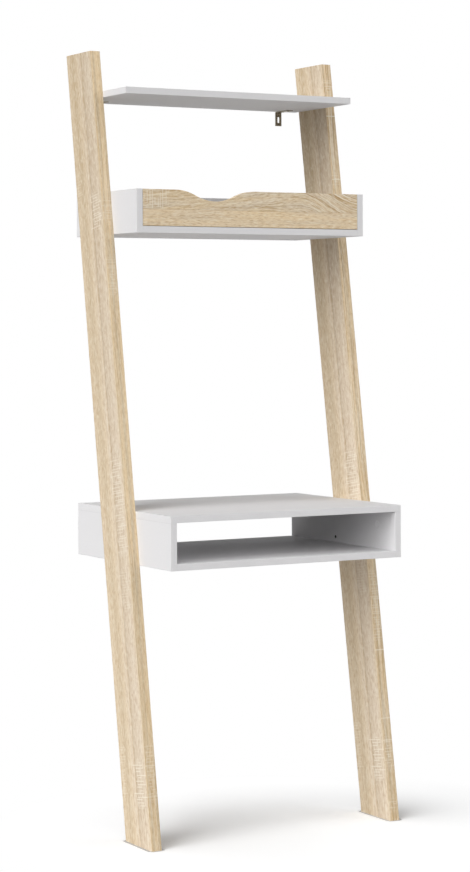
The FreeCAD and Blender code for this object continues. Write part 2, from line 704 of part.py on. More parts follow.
def make_side(label, side, depth, underside, height, cams_on_top):
    """Side board of a box, drilled for its bottom, its leg and, on the desk, its top."""
    low = f"-{LEG_FACE}" if side < 0 else INSIDE
    outline = (f"{WALL} - {depth}", underside, WALL, f"{underside} + {height}")
    body = board(label, "YZ", low, outline)
    inner = f"{side} * {INSIDE}"
    outer = f"{side} * {LEG_FACE}"
    middle_z = f"{underside} + {HALF_BOARD}"
    cam_rows = joint_rows(depth, "cam_inset")
    dowel_rows = joint_rows(depth, "dowel_inset")
    threads = [(y, middle_z) for y in cam_rows]
    dowels = [(y, middle_z) for y in dowel_rows]
    thread_depth = "bolt_thread_length + hole_spare"
    drill(body, "BottomBolts", "YZ", inner, side, threads, THREAD_HOLE, thread_depth)
    drill(body, "BottomDowels", "YZ", inner, side, dowels, DOWEL_HOLE, SHORT_HOLE)
    drill(body, "LegDowels", "YZ", outer, -side, leg_dowel_spots(underside), DOWEL_HOLE, SHORT_HOLE)
    if cams_on_top:
        top = f"{underside} + {height}"
        middle_x = f"{side} * ({LEG_FACE} - {HALF_BOARD})"
        cams = [(y, f"{top} - cam_setback") for y in cam_rows]
        bolts = [(middle_x, y) for y in cam_rows]
        pegs = [(middle_x, y) for y in dowel_rows]
        drill(body, "TopCams", "YZ", inner, side, cams, CAM_HOLE, "cam_depth")
        drill(body, "TopBolts", "XY", top, -1, bolts, BOLT_HOLE, "cam_setback")
        drill(body, "TopDowels", "XY", top, -1, pegs, DOWEL_HOLE, LONG_HOLE)
    return body


def make_bottom(label, depth, underside):
    """Bottom board between two sides, with its cams in the underside."""
    outline = (f"-{INSIDE}", f"{WALL} - {depth}", INSIDE, WALL)
    body = board(label, "XY", underside, outline)
    middle_z = f"{underside} + {HALF_BOARD}"
    cam_rows = joint_rows(depth, "cam_inset")
    cams = [(f"{side} * ({INSIDE} - cam_setback)", y) for side, _ in SIDES for y in cam_rows]
    drill(body, "Cams", "XY", underside, 1, cams, CAM_HOLE, "cam_depth")
    bolts = [(y, middle_z) for y in cam_rows]
    dowels = [(y, middle_z) for y in joint_rows(depth, "dowel_inset")]
    for side, hand in SIDES:
        end = f"{side} * {INSIDE}"
        drill(body, f"{hand}Bolts", "YZ", end, -side, bolts, BOLT_HOLE, "cam_setback")
        drill(body, f"{hand}Dowels", "YZ", end, -side, dowels, DOWEL_HOLE, LONG_HOLE)
    return body


def make_desk():
    """Desk box: top over the sides, bottom between them, open at front and back."""
    outline = (f"-{LEG_FACE}", f"{WALL} - desk_depth", LEG_FACE, WALL)
    top = board("desk_top", "XY", DESK_UNDER_TOP, outline)
    columns = [f"{side} * ({LEG_FACE} - {HALF_BOARD})" for side, _ in SIDES]
    threads = [(x, y) for x in columns for y in joint_rows("desk_depth", "cam_inset")]
    dowels = [(x, y) for x in columns for y in joint_rows("desk_depth", "dowel_inset")]
    thread_depth = "bolt_thread_length + hole_spare"
    drill(top, "Bolts", "XY", DESK_UNDER_TOP, 1, threads, THREAD_HOLE, thread_depth)
    drill(top, "Dowels", "XY", DESK_UNDER_TOP, 1, dowels, DOWEL_HOLE, SHORT_HOLE)
    for side, hand in SIDES:
        height = "desk_height - board_thickness"
        board_side = make_side(
            f"desk_{hand}_side", side, "desk_depth", "desk_underside", height, True
        )
        countersink(board_side, "LegScrew", "YZ", f"{side} * {INSIDE}", side, [DESK_SCREW])
    make_bottom("desk_bottom", "desk_depth", "desk_underside")


def make_case():
    """Open-topped case of the drawer: two sides, a bottom and a back between them."""
    for side, hand in SIDES:
        inner = f"{side} * {INSIDE}"
        body = make_side(
            f"case_{hand}_side", side, "case_depth", CASE_UNDERSIDE, "case_height", False
        )
        countersink(body, "LegScrew", "YZ", inner, side, [CASE_SCREW])
        bolt = [(BACK_MIDDLE_Y, BACK_MIDDLE_Z)]
        thread_depth = "bolt_thread_length + hole_spare"
        drill(body, "BackBolt", "YZ", inner, side, bolt, THREAD_HOLE, thread_depth)
        spots = [(f"{RUNNER_START} + {along}", RUNNER_SCREW_Z) for along in CASE_RUNNER_SCREWS]
        pilot = "pan_screw_length - runner_gauge + hole_spare"
        drill(body, "RunnerScrews", "YZ", inner, side, spots, PAN_HOLE, pilot)
    bottom = make_bottom("case_bottom", "case_depth", CASE_UNDERSIDE)
    pegs = [(f"{side} * back_dowel_reach", BACK_MIDDLE_Y) for side, _ in SIDES]
    drill(bottom, "BackDowels", "XY", CASE_FLOOR, -1, pegs, DOWEL_HOLE, SHORT_HOLE)

    outline = (f"-{INSIDE}", CASE_FLOOR, INSIDE, CASE_TOP)
    back = board("case_back", "XZ", f"{WALL} - board_thickness", outline)
    cams = [(f"{side} * ({INSIDE} - cam_setback)", BACK_MIDDLE_Z) for side, _ in SIDES]
    drill(back, "Cams", "XZ", WALL, -1, cams, CAM_HOLE, "cam_depth")
    for side, hand in SIDES:
        bolt = [(BACK_MIDDLE_Y, BACK_MIDDLE_Z)]
        end = f"{side} * {INSIDE}"
        drill(back, f"{hand}Bolt", "YZ", end, -side, bolt, BOLT_HOLE, "cam_setback")
    drill(back, "Dowels", "XY", CASE_FLOOR, 1, pegs, DOWEL_HOLE, LONG_HOLE)


# ---------------------------------------------------------------- drawer


def scoop_outline(sketch, middle, top):
    """Finger scoop: three equal arcs that run smoothly into the top edge and each other."""
    radius = "(scoop_half_width * scoop_half_width + scoop_depth * scoop_depth) / (4 * scoop_depth)"
    r = number(radius)
    cx, cz = number(middle), number(top)
    half, depth = number("scoop_half_width"), number("scoop_depth")
    lean = math.asin(half / 2 / r)
    up = FreeCAD.Vector(0, 0, 1)
    quarter = math.pi / 2

    def arc(x, z, start, end):
        circle = Part.Circle(FreeCAD.Vector(x, z, 0), up, r)
        return sketch.addGeometry(Part.ArcOfCircle(circle, start, end), False)

    left = arc(cx - half, cz - r, quarter - lean, quarter)
    hollow = arc(cx, cz - depth + r, -quarter - lean, -quarter + lean)
    right = arc(cx + half, cz - r, quarter, quarter + lean)
    ends = (FreeCAD.Vector(cx + half, cz, 0), FreeCAD.Vector(cx - half, cz, 0))
    edge = sketch.addGeometry(Part.LineSegment(*ends), False)
    sketch.addConstraint(Sketcher.Constraint("Tangent", edge, 2, left, 2))
    sketch.addConstraint(Sketcher.Constraint("Tangent", left, 1, hollow, 1))
    sketch.addConstraint(Sketcher.Constraint("Tangent", hollow, 2, right, 2))
    sketch.addConstraint(Sketcher.Constraint("Tangent", right, 1, edge, 1))
    sketch.addConstraint(Sketcher.Constraint("Equal", left, hollow))
    sketch.addConstraint(Sketcher.Constraint("Equal", hollow, right))
    fix(sketch, edge, 1, f"{middle} + scoop_half_width", top)
    fix(sketch, edge, 2, f"{middle} - scoop_half_width", top)
    set_size(sketch, "Radius", hollow, radius)


def make_drawer_front():
    """Inset drawer front with the scoop in its top edge and a groove for the bottom."""
    half = f"({INSIDE} - front_gap)"
    low = f"({CASE_FLOOR} + front_gap)"
    top = f"({low} + front_height)"
    body = part("drawer_front")
    outline = new_sketch(body, "Outline", "XZ", CASE_FRONT)
    rectangle(outline, f"-{half}", low, half, top)
    pad(body, outline, "board_thickness", "XZ", 1)
    scoop = new_sketch(body, "Scoop", "XZ", CASE_FRONT)
    scoop_outline(scoop, f"(scoop_from_left - {half})", top)
    pocket(body, scoop, "board_thickness", "XZ", 1)
    faces = (number(CASE_FRONT), number(DRAWER_START))
    round_edges(body, "edge_radius", lambda edge: lies_in_face(edge, faces))
    middle = f"({DRAWER_FACE} - {HALF_BOARD})"
    bolts = [(f"{side} * {middle}", DRAWER_CAM_Z) for side, _ in SIDES]
    dowels = [(f"{side} * {middle}", DRAWER_DOWEL_Z) for side, _ in SIDES]
    thread_depth = "bolt_thread_length + hole_spare"
    drill(body, "Bolts", "XZ", DRAWER_START, -1, bolts, THREAD_HOLE, thread_depth)
    drill(body, "Dowels", "XZ", DRAWER_START, -1, dowels, DOWEL_HOLE, SHORT_HOLE)
    groove = new_sketch(body, "Groove", "XZ", DRAWER_START)
    reach = f"({DRAWER_INSIDE} + groove_depth)"
    rectangle(groove, f"-{reach}", GROOVE, reach, f"{GROOVE} + hardboard_thickness")
    pocket(body, groove, "groove_depth", "XZ", -1)
    return body


def lies_in_face(edge, levels):
    """Whether a whole edge lies at one of these Y levels."""
    box = edge.BoundBox
    return any(abs(box.YMin - y) < 1e-6 and abs(box.YMax - y) < 1e-6 for y in levels)


def make_drawer_side(side, hand):
    """Side board of the drawer."""
    low = f"-{DRAWER_FACE}" if side < 0 else DRAWER_INSIDE
    outline = (DRAWER_START, DRAWER_UNDERSIDE, DRAWER_END, DRAWER_TOP)
    body = board(f"drawer_{hand}_side", "YZ", low, outline)
    inner = f"{side} * {DRAWER_INSIDE}"
    outer = f"{side} * {DRAWER_FACE}"
    middle = f"{side} * ({DRAWER_FACE} - {HALF_BOARD})"
    cam = [(f"{DRAWER_START} + cam_setback", DRAWER_CAM_Z)]
    drill(body, "Cam", "YZ", inner, side, cam, CAM_HOLE, "cam_depth")
    drill(body, "Bolt", "XZ", DRAWER_START, 1, [(middle, DRAWER_CAM_Z)], BOLT_HOLE, "cam_setback")
    drill(body, "Dowel", "XZ", DRAWER_START, 1, [(middle, DRAWER_DOWEL_Z)], DOWEL_HOLE, LONG_HOLE)
    groove = new_sketch(body, "Groove", "YZ", inner)
    rectangle(groove, DRAWER_START, GROOVE, DRAWER_END, f"{GROOVE} + hardboard_thickness")
    pocket(body, groove, "groove_depth", "YZ", side)
    back = [(f"{DRAWER_END} - {HALF_BOARD}", height) for height in BACK_SCREW_HEIGHTS]
    countersink(body, "BackScrews", "YZ", outer, -side, back)
    spots = [(f"{DRAWER_START} + {along}", RUNNER_SCREW_Z) for along in DRAWER_RUNNER_SCREWS]
    pilot = "pan_screw_length - runner_gauge + hole_spare"
    drill(body, "RunnerScrews", "YZ", outer, -side, spots, PAN_HOLE, pilot)
    return body


def make_drawer_back():
    """Back board of the drawer, between its sides."""
    outline = (f"-{DRAWER_INSIDE}", DRAWER_UNDERSIDE, DRAWER_INSIDE, DRAWER_TOP)
    level = f"{DRAWER_END} - board_thickness"
    body = board("drawer_back", "XZ", level, outline)
    groove = new_sketch(body, "Groove", "XZ", level)
    ends = (f"-{DRAWER_INSIDE}", GROOVE, DRAWER_INSIDE, f"{GROOVE} + hardboard_thickness")
    rectangle(groove, *ends)
    pocket(body, groove, "groove_depth", "XZ", 1)
    spots = [(f"{DRAWER_END} - {HALF_BOARD}", height) for height in BACK_SCREW_HEIGHTS]
    pilot = "screw_length - board_thickness + hole_spare"
    for side, hand in SIDES:
        end = f"{side} * {DRAWER_INSIDE}"
        drill(body, f"{hand}Screws", "YZ", end, -side, spots, SCREW_HOLE, pilot)
    return body


def make_drawer_bottom():
    """Hardboard bottom, held in the grooves of the other four boards."""
    body = part("drawer_bottom")
    sketch = new_sketch(body, "Outline", "XY", GROOVE)
    reach = f"({DRAWER_INSIDE} + groove_depth - groove_play)"
    front = f"{DRAWER_START} - groove_depth + groove_play"
    back = f"{DRAWER_END} - board_thickness + groove_depth - groove_play"
    rectangle(sketch, f"-{reach}", front, reach, back)
    pad(body, sketch, "hardboard_thickness", "XY", 1)
    return body


# ---------------------------------------------------------------- runners


def make_case_runner(side, hand):
    """Case member of a runner: a channel with a track below and a lip above."""
    body = part(f"{hand}_case_runner")
    web = f"{side} * ({INSIDE} - runner_gauge)"
    face = f"{side} * {INSIDE}"
    tip = f"{side} * ({DRAWER_FACE} + runner_gauge + runner_clearance)"
    lip_top = f"{LIP} + runner_gauge"
    corners = (
        (face, TRACK),
        (tip, TRACK),
        (tip, TRACK_TOP),
        (web, TRACK_TOP),
        (web, LIP),
        (tip, LIP),
        (tip, lip_top),
        (face, lip_top),
    )
    sketch = new_sketch(body, "Channel", "XZ", RUNNER_START)
    polygon(sketch, corners)
    pad(body, sketch, RUNNER_LENGTH, "XZ", 1)
    opening = new_sketch(body, "LipOpening", "XY", lip_top)
    rectangle(opening, tip, RUNNER_START, web, f"{RUNNER_START} + lip_opening")
    pocket(body, opening, "runner_gauge", "XY", -1)
    screws = [(f"{RUNNER_START} + {along}", RUNNER_SCREW_Z) for along in CASE_RUNNER_SCREWS]
    drill(body, "Screws", "YZ", face, -side, screws, PAN_HOLE, "runner_gauge")
    pin = [(FRONT_ROLLER_Y, FRONT_ROLLER_Z)]
    drill(body, "Pin", "YZ", face, -side, pin, "pin_radius", "runner_gauge")
    return body


def make_drawer_runner(side, hand):
    """Drawer member of a runner: a web with a flange under the drawer and one on the roller."""
    body = part(f"{hand}_drawer_runner")
    face = f"{side} * {DRAWER_FACE}"
    web = f"{side} * ({DRAWER_FACE} + runner_gauge)"
    tip = f"{side} * ({INSIDE} - runner_gauge - flange_clearance)"
    seat = f"{side} * ({DRAWER_FACE} - runner_seat)"
    low = f"{DRAWER_UNDERSIDE} - runner_gauge"
    flange_top = f"{FLANGE} + runner_gauge"
    corners = (
        (seat, low),
        (web, low),
        (web, FLANGE),
        (tip, FLANGE),
        (tip, flange_top),
        (face, flange_top),
        (face, DRAWER_UNDERSIDE),
        (seat, DRAWER_UNDERSIDE),
    )
    sketch = new_sketch(body, "Section", "XZ", DRAWER_START)
    polygon(sketch, corners)
    pad(body, sketch, RUNNER_LENGTH, "XZ", 1)
    screws = [(f"{DRAWER_START} + {along}", RUNNER_SCREW_Z) for along in DRAWER_RUNNER_SCREWS]
    drill(body, "Screws", "YZ", web, -side, screws, PAN_HOLE, "runner_gauge")
    pin = [(REAR_ROLLER_Y, REAR_ROLLER_Z)]
    drill(body, "Pin", "YZ", web, -side, pin, "pin_radius", "runner_gauge")
    return body


def make_roller(label, near, towards, y, z):
    """Nylon roller on an axle along X: near face, direction away from its web, and centre."""
    body = part(label)
    sketch = new_sketch(body, "Rim", "YZ", near)
    circles(sketch, [(y, z)], "roller_radius")
    disc = pad(body, sketch, "roller_width", "YZ", towards)
    edges = enumerate(disc.Shape.Edges, start=1)
    rims = [f"Edge{k}" for k, edge in edges if isinstance(edge.Curve, Part.Circle)]
    chamfer = body.newObject("PartDesign::Chamfer", "Chamfer")
    chamfer.Base = (disc, rims)
    chamfer.setExpression("Size", bound("roller_chamfer"))
    finish_feature(body, chamfer)
    bore = [(y, z)]
    clear = "pin_radius + running_clearance"
    drill(body, "Bore", "YZ", near, towards, bore, clear, "roller_width")
    return body


def make_runners():
    """Both pairs of runners with their rollers."""
    for side, hand in SIDES:
        make_case_runner(side, hand)
        make_drawer_runner(side, hand)
        near = f"{side} * ({INSIDE} - runner_gauge - roller_side_gap)"
        make_roller(f"{hand}_front_roller", near, -side, FRONT_ROLLER_Y, FRONT_ROLLER_Z)
        near = f"{side} * ({DRAWER_FACE} + runner_gauge + roller_side_gap)"
        make_roller(f"{hand}_rear_roller", near, side, REAR_ROLLER_Y, REAR_ROLLER_Z)


# ---------------------------------------------------------------- fasteners in their places


def bottom_cams(depth, underside):
    """Cams and cam bolts of a bottom board."""
    places = []
    for side, _ in SIDES:
        for y in joint_rows(depth, "cam_inset"):
            origin = (f"{side} * ({INSIDE} - cam_setback)", y, underside)
            places.append(frame(origin, (0, 0, -1), (side, 0, 0)))
    return places


def bottom_dowels(depth, underside):
    """Dowels between a bottom board and the sides."""
    places = []
    for side, _ in SIDES:
        for y in joint_rows(depth, "dowel_inset"):
            origin = (f"{side} * {INSIDE}", y, f"{underside} + {HALF_BOARD}")
            places.append(frame(origin, (0, 0, 1), (side, 0, 0)))
    return places


def leg_dowels(underside):
    """Dowels between a box and both legs, short end in the box."""
    places = []
    for side, _ in SIDES:
        for y, z in leg_dowel_spots(underside):
            places.append(frame((f"{side} * {LEG_FACE}", y, z), (0, 0, 1), (-side, 0, 0)))
    return places


def screws_outwards(spot, level):
    """Countersunk screws driven outwards through both sides of a box."""
    y, z = spot
    return [frame((f"{side} * {level}", y, z), (0, 0, 1), (side, 0, 0)) for side, _ in SIDES]


def make_fasteners():
    """Every cam, bolt, dowel, screw, cap and axle, as groups of separate solids."""
    cam, bolt, dowel = make_cam(), make_bolt(), make_dowel()
    screw, pan_screw, cap, pin = make_screw(), make_pan_screw(), make_cap(), make_pin()

    middle = leg_middle(SHELF_MIDDLE)
    shelf = []
    pegs = []
    for side, _ in SIDES:
        origin = (f"{side} * ({LEG_FACE} - cam_setback)", middle, SHELF_TOP)
        shelf.append(frame(origin, (0, 0, 1), (side, 0, 0)))
        for y, z in shelf_dowel_spots():
            pegs.append(frame((f"{side} * {LEG_FACE}", y, z), (0, 0, 1), (side, 0, 0)))
    group("shelf_cams", cam, shelf)
    group("shelf_cam_bolts", bolt, below_face(shelf))
    group("shelf_dowels", dowel, pegs)

    desk = bottom_cams("desk_depth", "desk_underside")
    capped = []
    for side, _ in SIDES:
        for y in joint_rows("desk_depth", "cam_inset"):
            height = f"{DESK_UNDER_TOP} - cam_setback"
            spot = (f"{side} * {INSIDE}", y, height)
            desk.append(frame(spot, (-side, 0, 0), (0, 0, 1)))
            capped.append(frame(spot, (0, 0, 1), (-side, 0, 0)))
    group("desk_cams", cam, desk)
    group("desk_cam_bolts", bolt, below_face(desk))
    group("desk_cam_caps", cap, capped)
    pegs = bottom_dowels("desk_depth", "desk_underside")
    for side, _ in SIDES:
        for y in joint_rows("desk_depth", "dowel_inset"):
            origin = (f"{side} * ({LEG_FACE} - {HALF_BOARD})", y, DESK_UNDER_TOP)
            pegs.append(frame(origin, (1, 0, 0), (0, 0, 1)))
    group("desk_dowels", dowel, pegs)
    group("desk_leg_dowels", dowel, leg_dowels("desk_underside"))
    group("desk_leg_screws", screw, screws_outwards(DESK_SCREW, INSIDE))

    case = bottom_cams("case_depth", CASE_UNDERSIDE)
    for side, _ in SIDES:
        origin = (f"{side} * ({INSIDE} - cam_setback)", WALL, BACK_MIDDLE_Z)
        case.append(frame(origin, (0, 1, 0), (side, 0, 0)))
    group("case_cams", cam, case)
    group("case_cam_bolts", bolt, below_face(case))
    pegs = bottom_dowels("case_depth", CASE_UNDERSIDE)
    for side, _ in SIDES:
        origin = (f"{side} * back_dowel_reach", BACK_MIDDLE_Y, CASE_FLOOR)
        pegs.append(frame(origin, (1, 0, 0), (0, 0, -1)))
    group("case_dowels", dowel, pegs)
    group("case_leg_dowels", dowel, leg_dowels(CASE_UNDERSIDE))
    group("case_leg_screws", screw, screws_outwards(CASE_SCREW, INSIDE))

    drawer = []
    pegs = []
    back_screws = []
    for side, _ in SIDES:
        origin = (f"{side} * {DRAWER_INSIDE}", f"{DRAWER_START} + cam_setback", DRAWER_CAM_Z)
        drawer.append(frame(origin, (-side, 0, 0), (0, -1, 0)))
        x = f"{side} * ({DRAWER_FACE} - {HALF_BOARD})"
        pegs.append(frame((x, DRAWER_START, DRAWER_DOWEL_Z), (0, 0, 1), (0, -1, 0)))
        for height in BACK_SCREW_HEIGHTS:
            origin = (f"{side} * {DRAWER_FACE}", f"{DRAWER_END} - {HALF_BOARD}", height)
            back_screws.append(frame(origin, (0, 0, 1), (-side, 0, 0)))
    group("drawer_cams", cam, drawer)
    group("drawer_cam_bolts", bolt, below_face(drawer))
    group("drawer_dowels", dowel, pegs)
    group("drawer_back_screws", screw, back_screws)

    case_screws = []
    drawer_screws = []
    front_pins = []
    rear_pins = []
    bracket_screws = []
    for side, _ in SIDES:
        web = f"{side} * ({INSIDE} - runner_gauge)"
        for along in CASE_RUNNER_SCREWS:
            origin = (web, f"{RUNNER_START} + {along}", RUNNER_SCREW_Z)
            case_screws.append(frame(origin, (0, 0, 1), (side, 0, 0)))
        web = f"{side} * ({DRAWER_FACE} + runner_gauge)"
        for along in DRAWER_RUNNER_SCREWS:
            origin = (web, f"{DRAWER_START} + {along}", RUNNER_SCREW_Z)
            drawer_screws.append(frame(origin, (0, 0, 1), (-side, 0, 0)))
        origin = (f"{side} * {INSIDE}", FRONT_ROLLER_Y, FRONT_ROLLER_Z)
        front_pins.append(frame(origin, (0, 0, 1), (-side, 0, 0)))
        origin = (f"{side} * {DRAWER_FACE}", REAR_ROLLER_Y, REAR_ROLLER_Z)
        rear_pins.append(frame(origin, (0, 0, 1), (side, 0, 0)))
        for y in bracket_rows():
            origin = (f"{side} * {BRACKET_MIDDLE}", y, f"{SHELF_UNDERSIDE} - bracket_gauge")
            bracket_screws.append(frame(origin, (1, 0, 0), (0, 0, 1)))
    group("case_runner_screws", pan_screw, case_screws)
    group("drawer_runner_screws", pan_screw, drawer_screws)
    group("front_roller_pins", pin, front_pins)
    group("rear_roller_pins", pin, rear_pins)
    group("bracket_screws", pan_screw, bracket_screws)


# ---------------------------------------------------------------- build, test and write


def build():
    fill_sheet()
    for side, hand in SIDES:
        make_leg(side, hand)
        make_bracket(side, hand)
        make_drawer_side(side, hand)
    make_shelf()
    make_desk()
    make_case()
    make_drawer_front()
    make_drawer_back()
    make_drawer_bottom()
    make_runners()
    make_fasteners()
    doc.recompute()


def check():
    """Stop if anything in the document failed, or a part is empty or not a sound solid."""
    for item in doc.Objects:
        if "Invalid" in item.State or "Error" in item.State:
            raise RuntimeError(f"{item.Label} is in state {item.State}")
    for item in parts:
        shape = item.Shape
        if shape.isNull() or not shape.isValid() or not shape.Solids:
            raise RuntimeError(f"{item.Label} has no valid solid")


def write():
    os.makedirs("parts", exist_ok=True)
    for item in parts:
        item.Shape.exportStep(f"parts/{item.Label}.step")
    print(f"wrote {len(parts)} nodes, {sum(len(item.Shape.Solids) for item in parts)} solids")


build()
check()
write()
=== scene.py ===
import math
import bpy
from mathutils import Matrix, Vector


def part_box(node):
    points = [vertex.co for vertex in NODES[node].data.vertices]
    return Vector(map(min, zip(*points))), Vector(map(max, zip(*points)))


bl_info = {
    "name": "Ladder Desk",
    "version": (1, 0, 0),
    "blender": (4, 5, 0),
    "location": "View3D > Sidebar > Ladder Desk",
    "description": "Finishes, lights and camera for a leaning ladder desk",
    "category": "Object",
}

from functools import partial

import bpy
from bpy.props import FloatProperty, FloatVectorProperty, PointerProperty
from mathutils import Euler, Vector

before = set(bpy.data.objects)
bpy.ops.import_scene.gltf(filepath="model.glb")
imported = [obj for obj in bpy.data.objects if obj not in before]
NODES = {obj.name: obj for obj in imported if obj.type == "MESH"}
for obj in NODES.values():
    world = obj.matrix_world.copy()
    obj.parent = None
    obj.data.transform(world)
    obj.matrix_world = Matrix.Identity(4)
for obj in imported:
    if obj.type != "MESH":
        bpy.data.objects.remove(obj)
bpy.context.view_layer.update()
MM = 0.001

# ---------------------------------------------------------------- the oak foil's print
# Places and sizes on the foil are in millimetres, and a strength goes from 0, none, to 1, full.
# Noise goes from 0 to 1 round a middle of about 0.5. Limits on it are where something drawn from
# it begins to show and where it is full.

# A leg's direction along its grain and that of its width towards the front, and its foot's back
# corner in metres. Along a leg, places count from the foot; across it, from its back edge.
LEG_RUN = Vector((0.0, 0.290, 1.788)).normalized()
LEG_FRONT = Vector((0.0, -LEG_RUN.z, LEG_RUN.y))
LEG_FOOT = (0.0, -0.057, 0.0)
LEG_WIDTH = 125.0
LEG_THICKNESS = 25.0
# How squarely a surface has to face one way, as the cosine of the angle, to count as a leg's
# edge, as its face towards the right, and as the broad face of a white board.
EDGE_COSINE = 0.7
RIGHT_COSINE = 0.5
BROAD_COSINE = 0.9

# Tones across a face: a warm plank up to the seam at 75, then a greyish one.
FACE_PLANKS = (
    (0, "shade"),
    (9, "plain"),
    (34, "shade"),
    (52, "plain"),
    (68, "pale"),
    (72, "plain"),
    (75, "seam"),
    (81, "ash"),
    (112, "pale"),
    (125, "plain"),
)
# A leg's inner and outer face take lengths of the printed roll that start this far apart.
FACE_SHIFT = 480.0
# The planks' lines wander this far across the leg, in waves of this length.
WANDER = 14.0
WANDER_LENGTH = 480
# Broad darker clouds on a face: length and width, limits and strength.
CLOUD_SIZE = (260, 22)
CLOUD_LIMITS = (0.5, 0.8)
CLOUD_STRENGTH = 0.5
# Darker bands along an edge: length and width, and limits.
EDGE_BAND_SIZE = (500, 9)
EDGE_BAND_LIMITS = (0.4, 0.7)
# Painted shade, standing in for light that is weaker higher up: where a face begins to darken
# towards the top, where it is darkest, and the tone it is multiplied by there. Then the same
# painted shade for an edge, darkening towards the foot.
FACE_TOP_PAINTED_SHADE = (700.0, 1640.0)
FACE_TOP_PAINTED_SHADE_TONE = (0.9, 0.89, 0.87, 1.0)
EDGE_FOOT_PAINTED_SHADE = (700.0, 150.0)
EDGE_FOOT_PAINTED_SHADE_TONE = (0.895, 0.885, 0.87, 1.0)
# The growth lines on an edge are long arches. Their middle wanders over this width, in waves of
# this length.
HEART_WIDTH = 26.0
HEART_LENGTH = 350
# A place's value in the arches' pattern is its distance from their middle, squared, over the
# first of these, less its place along the leg over the second.
ARCH_CURVE = 14
ARCH_LENGTH = 90.0

# Saw marks on a face's front and back part: the strip that they keep to across the face, and
# patches with a start and an end along the leg and a strength.
FRONT_STRIP = (70.0, 121.0)
FRONT_SAW_PATCHES = ((76, 175, 0.65), (508, 600, 0.25), (640, 851, 0.45), (1377, 1463, 0.5))
BACK_STRIP = (0.0, 28.0)
BACK_SAW_PATCHES = ((95, 215, 0.25), (1463, 1512, 0.25))
# A leg's edges: how strong the growth lines are, the patches of saw marks, and single lines right
# across, each with its place along the leg and its strength.
LEG_EDGES = {
    "left_leg": (
        0.34,
        ((90, 210, 0.3), (1223, 1306, 0.35), (1385, 1445, 0.3)),
        ((97, 0.3), (165, 0.35), (207, 0.25), (1427, 0.4)),
    ),
    "right_leg": (
        0.8,
        ((5, 30, 0.3), (105, 170, 0.4), (400, 560, 0.35), (1495, 1515, 0.6), (1720, 1752, 0.4)),
        ((165, 0.5), (216, 0.4), (375, 0.6), (1505, 0.6), (1662, 0.8)),
    ),
}
# Half the width of such a line, and its soft border.
EDGE_LINE_HALF = 1.2
EDGE_LINE_SOFT = 0.6

# Each rung of a saw mark has a cell of its own. It stands in the cell at the second of these
# shares, and up to the first further on by chance.
RUNG_PLACE = (0.5, 0.25)
# A rung is gone this far from its middle and full this near, as shares of its width.
RUNG_FADE = (0.75, 0.25)
# Its middle lies between these shares of the strip. To each side it reaches the second of the
# next two shares, and up to the first further by chance.
RUNG_MIDDLE = (0.3, 0.7)
RUNG_REACH = (0.42, 0.12)
# Its ends fade out over twice this length.
RUNG_END = 1.5
# Rails run in lanes of this width and blocks of this length. The blocks are moved from one lane
# to the next by this share of a block.
RAIL_LANE = 14.0
RAIL_BLOCK = 31.0
RAIL_STAGGER = 0.37
# A rail is gone this far from its middle and full this near, as shares of a lane.
RAIL_FADE = (0.16, 0.05)
# The chance that a block has no rail, the soft border of the strip for rails, and a rail's
# strength.
RAIL_MISSING = 0.7
RAIL_BORDER = 2.0
RAIL_STRENGTH = 0.6

# Growth lines are this long. Then the limits of darker and paler lines, of darker and paler
# flecks, and of pores.
LINE_LENGTH = 300
DARK_LINES = (0.5, 0.68)
PALE_LINES = (0.48, 0.32)
DARK_FLECKS = (0.5, 0.7)
PALE_FLECKS = (0.48, 0.28)
PORES = (0.52, 0.62)
# How strong the paler lines and flecks are, as multiples of the darker ones, and the pores.
PALE_LINE_GAIN = 0.8
PALE_FLECK_GAIN = 1.35
PORE_STRENGTH = 0.2
# The flecks' and the pores' sheets of noise are this far beyond the growth lines' sheet.
FLECK_SHEET = 20.0
PORE_SHEET = 40.0

# The drawer front is measured from its lower left corner. The seam between its two planks: its
# height, half its width, its soft border and its strength.
SEAM_HEIGHT = 38.0
SEAM_HALF = 0.8
SEAM_SOFT = 0.6
SEAM_STRENGTH = 0.25
# The upper plank's growth lines climb from the first to the second of these heights on the way to
# the crown, and fall by the last over the crown's length.
CROWN_PLACE = 405.0
CROWN_LENGTH = 170.0
CROWN_CLIMB = (-6.0, 26.0)
CROWN_FALL = 62.0
# Its broad growth lines: length and width, strength, and what is added to that in the crown, from
# this far past its place on and with this soft border.
UPPER_LINE_SIZE = (190, 3.0)
UPPER_LINE_STRENGTH = 0.5
CROWN_LINE_STRENGTH = 0.4
CROWN_START = 10.0
CROWN_BORDER = 40
# How far the lines ripple, with the ripples' length and width, on the upper and lower plank.
UPPER_RIPPLE = 14.0
UPPER_RIPPLE_SIZE = (70, 30)
LOWER_RIPPLE = 9.0
LOWER_RIPPLE_SIZE = (60, 25)
# Bands of the plain tone on the golden one: length and width, and limits, on the upper and
# lower plank.
UPPER_BAND_SIZE = (240, 16)
UPPER_BAND_LIMITS = (0.35, 0.65)
LOWER_BAND_SIZE = (220, 12)
LOWER_BAND_LIMITS = (0.35, 0.7)
# The tone that the upper plank is multiplied by.
UPPER_PLANK_TONE = (0.96, 0.975, 0.99, 1.0)
# A darker island between the growth lines: its middle, half its length and height, the squared
# shares of these at which it is gone and full, and its strength.
ISLAND_PLACE = (330.0, 46.0)
ISLAND_HALF = (26.0, 3.2)
ISLAND_FADE = (1.0, 0.2)
ISLAND_STRENGTH = 0.4
# Saw marks at the upper plank's left end: start, end and soft border, and strength.
DRAWER_SAW_PATCH = (2.0, 62.0, 6)
DRAWER_SAW_STRENGTH = 0.5

# ---------------------------------------------------------------- the white boards' melamine

# The pearl texture's darkest and palest tone, as multiples of the white.
PEARL_TONES = (0.975, 1.025)
# The hairline at the edging is gone this far from its middle and full this near, in metres. Then
# its strength.
HAIRLINE_FADE = (0.5 * MM, 0.2 * MM)
HAIRLINE_STRENGTH = 0.1

# ---------------------------------------------------------------- pieces by finish

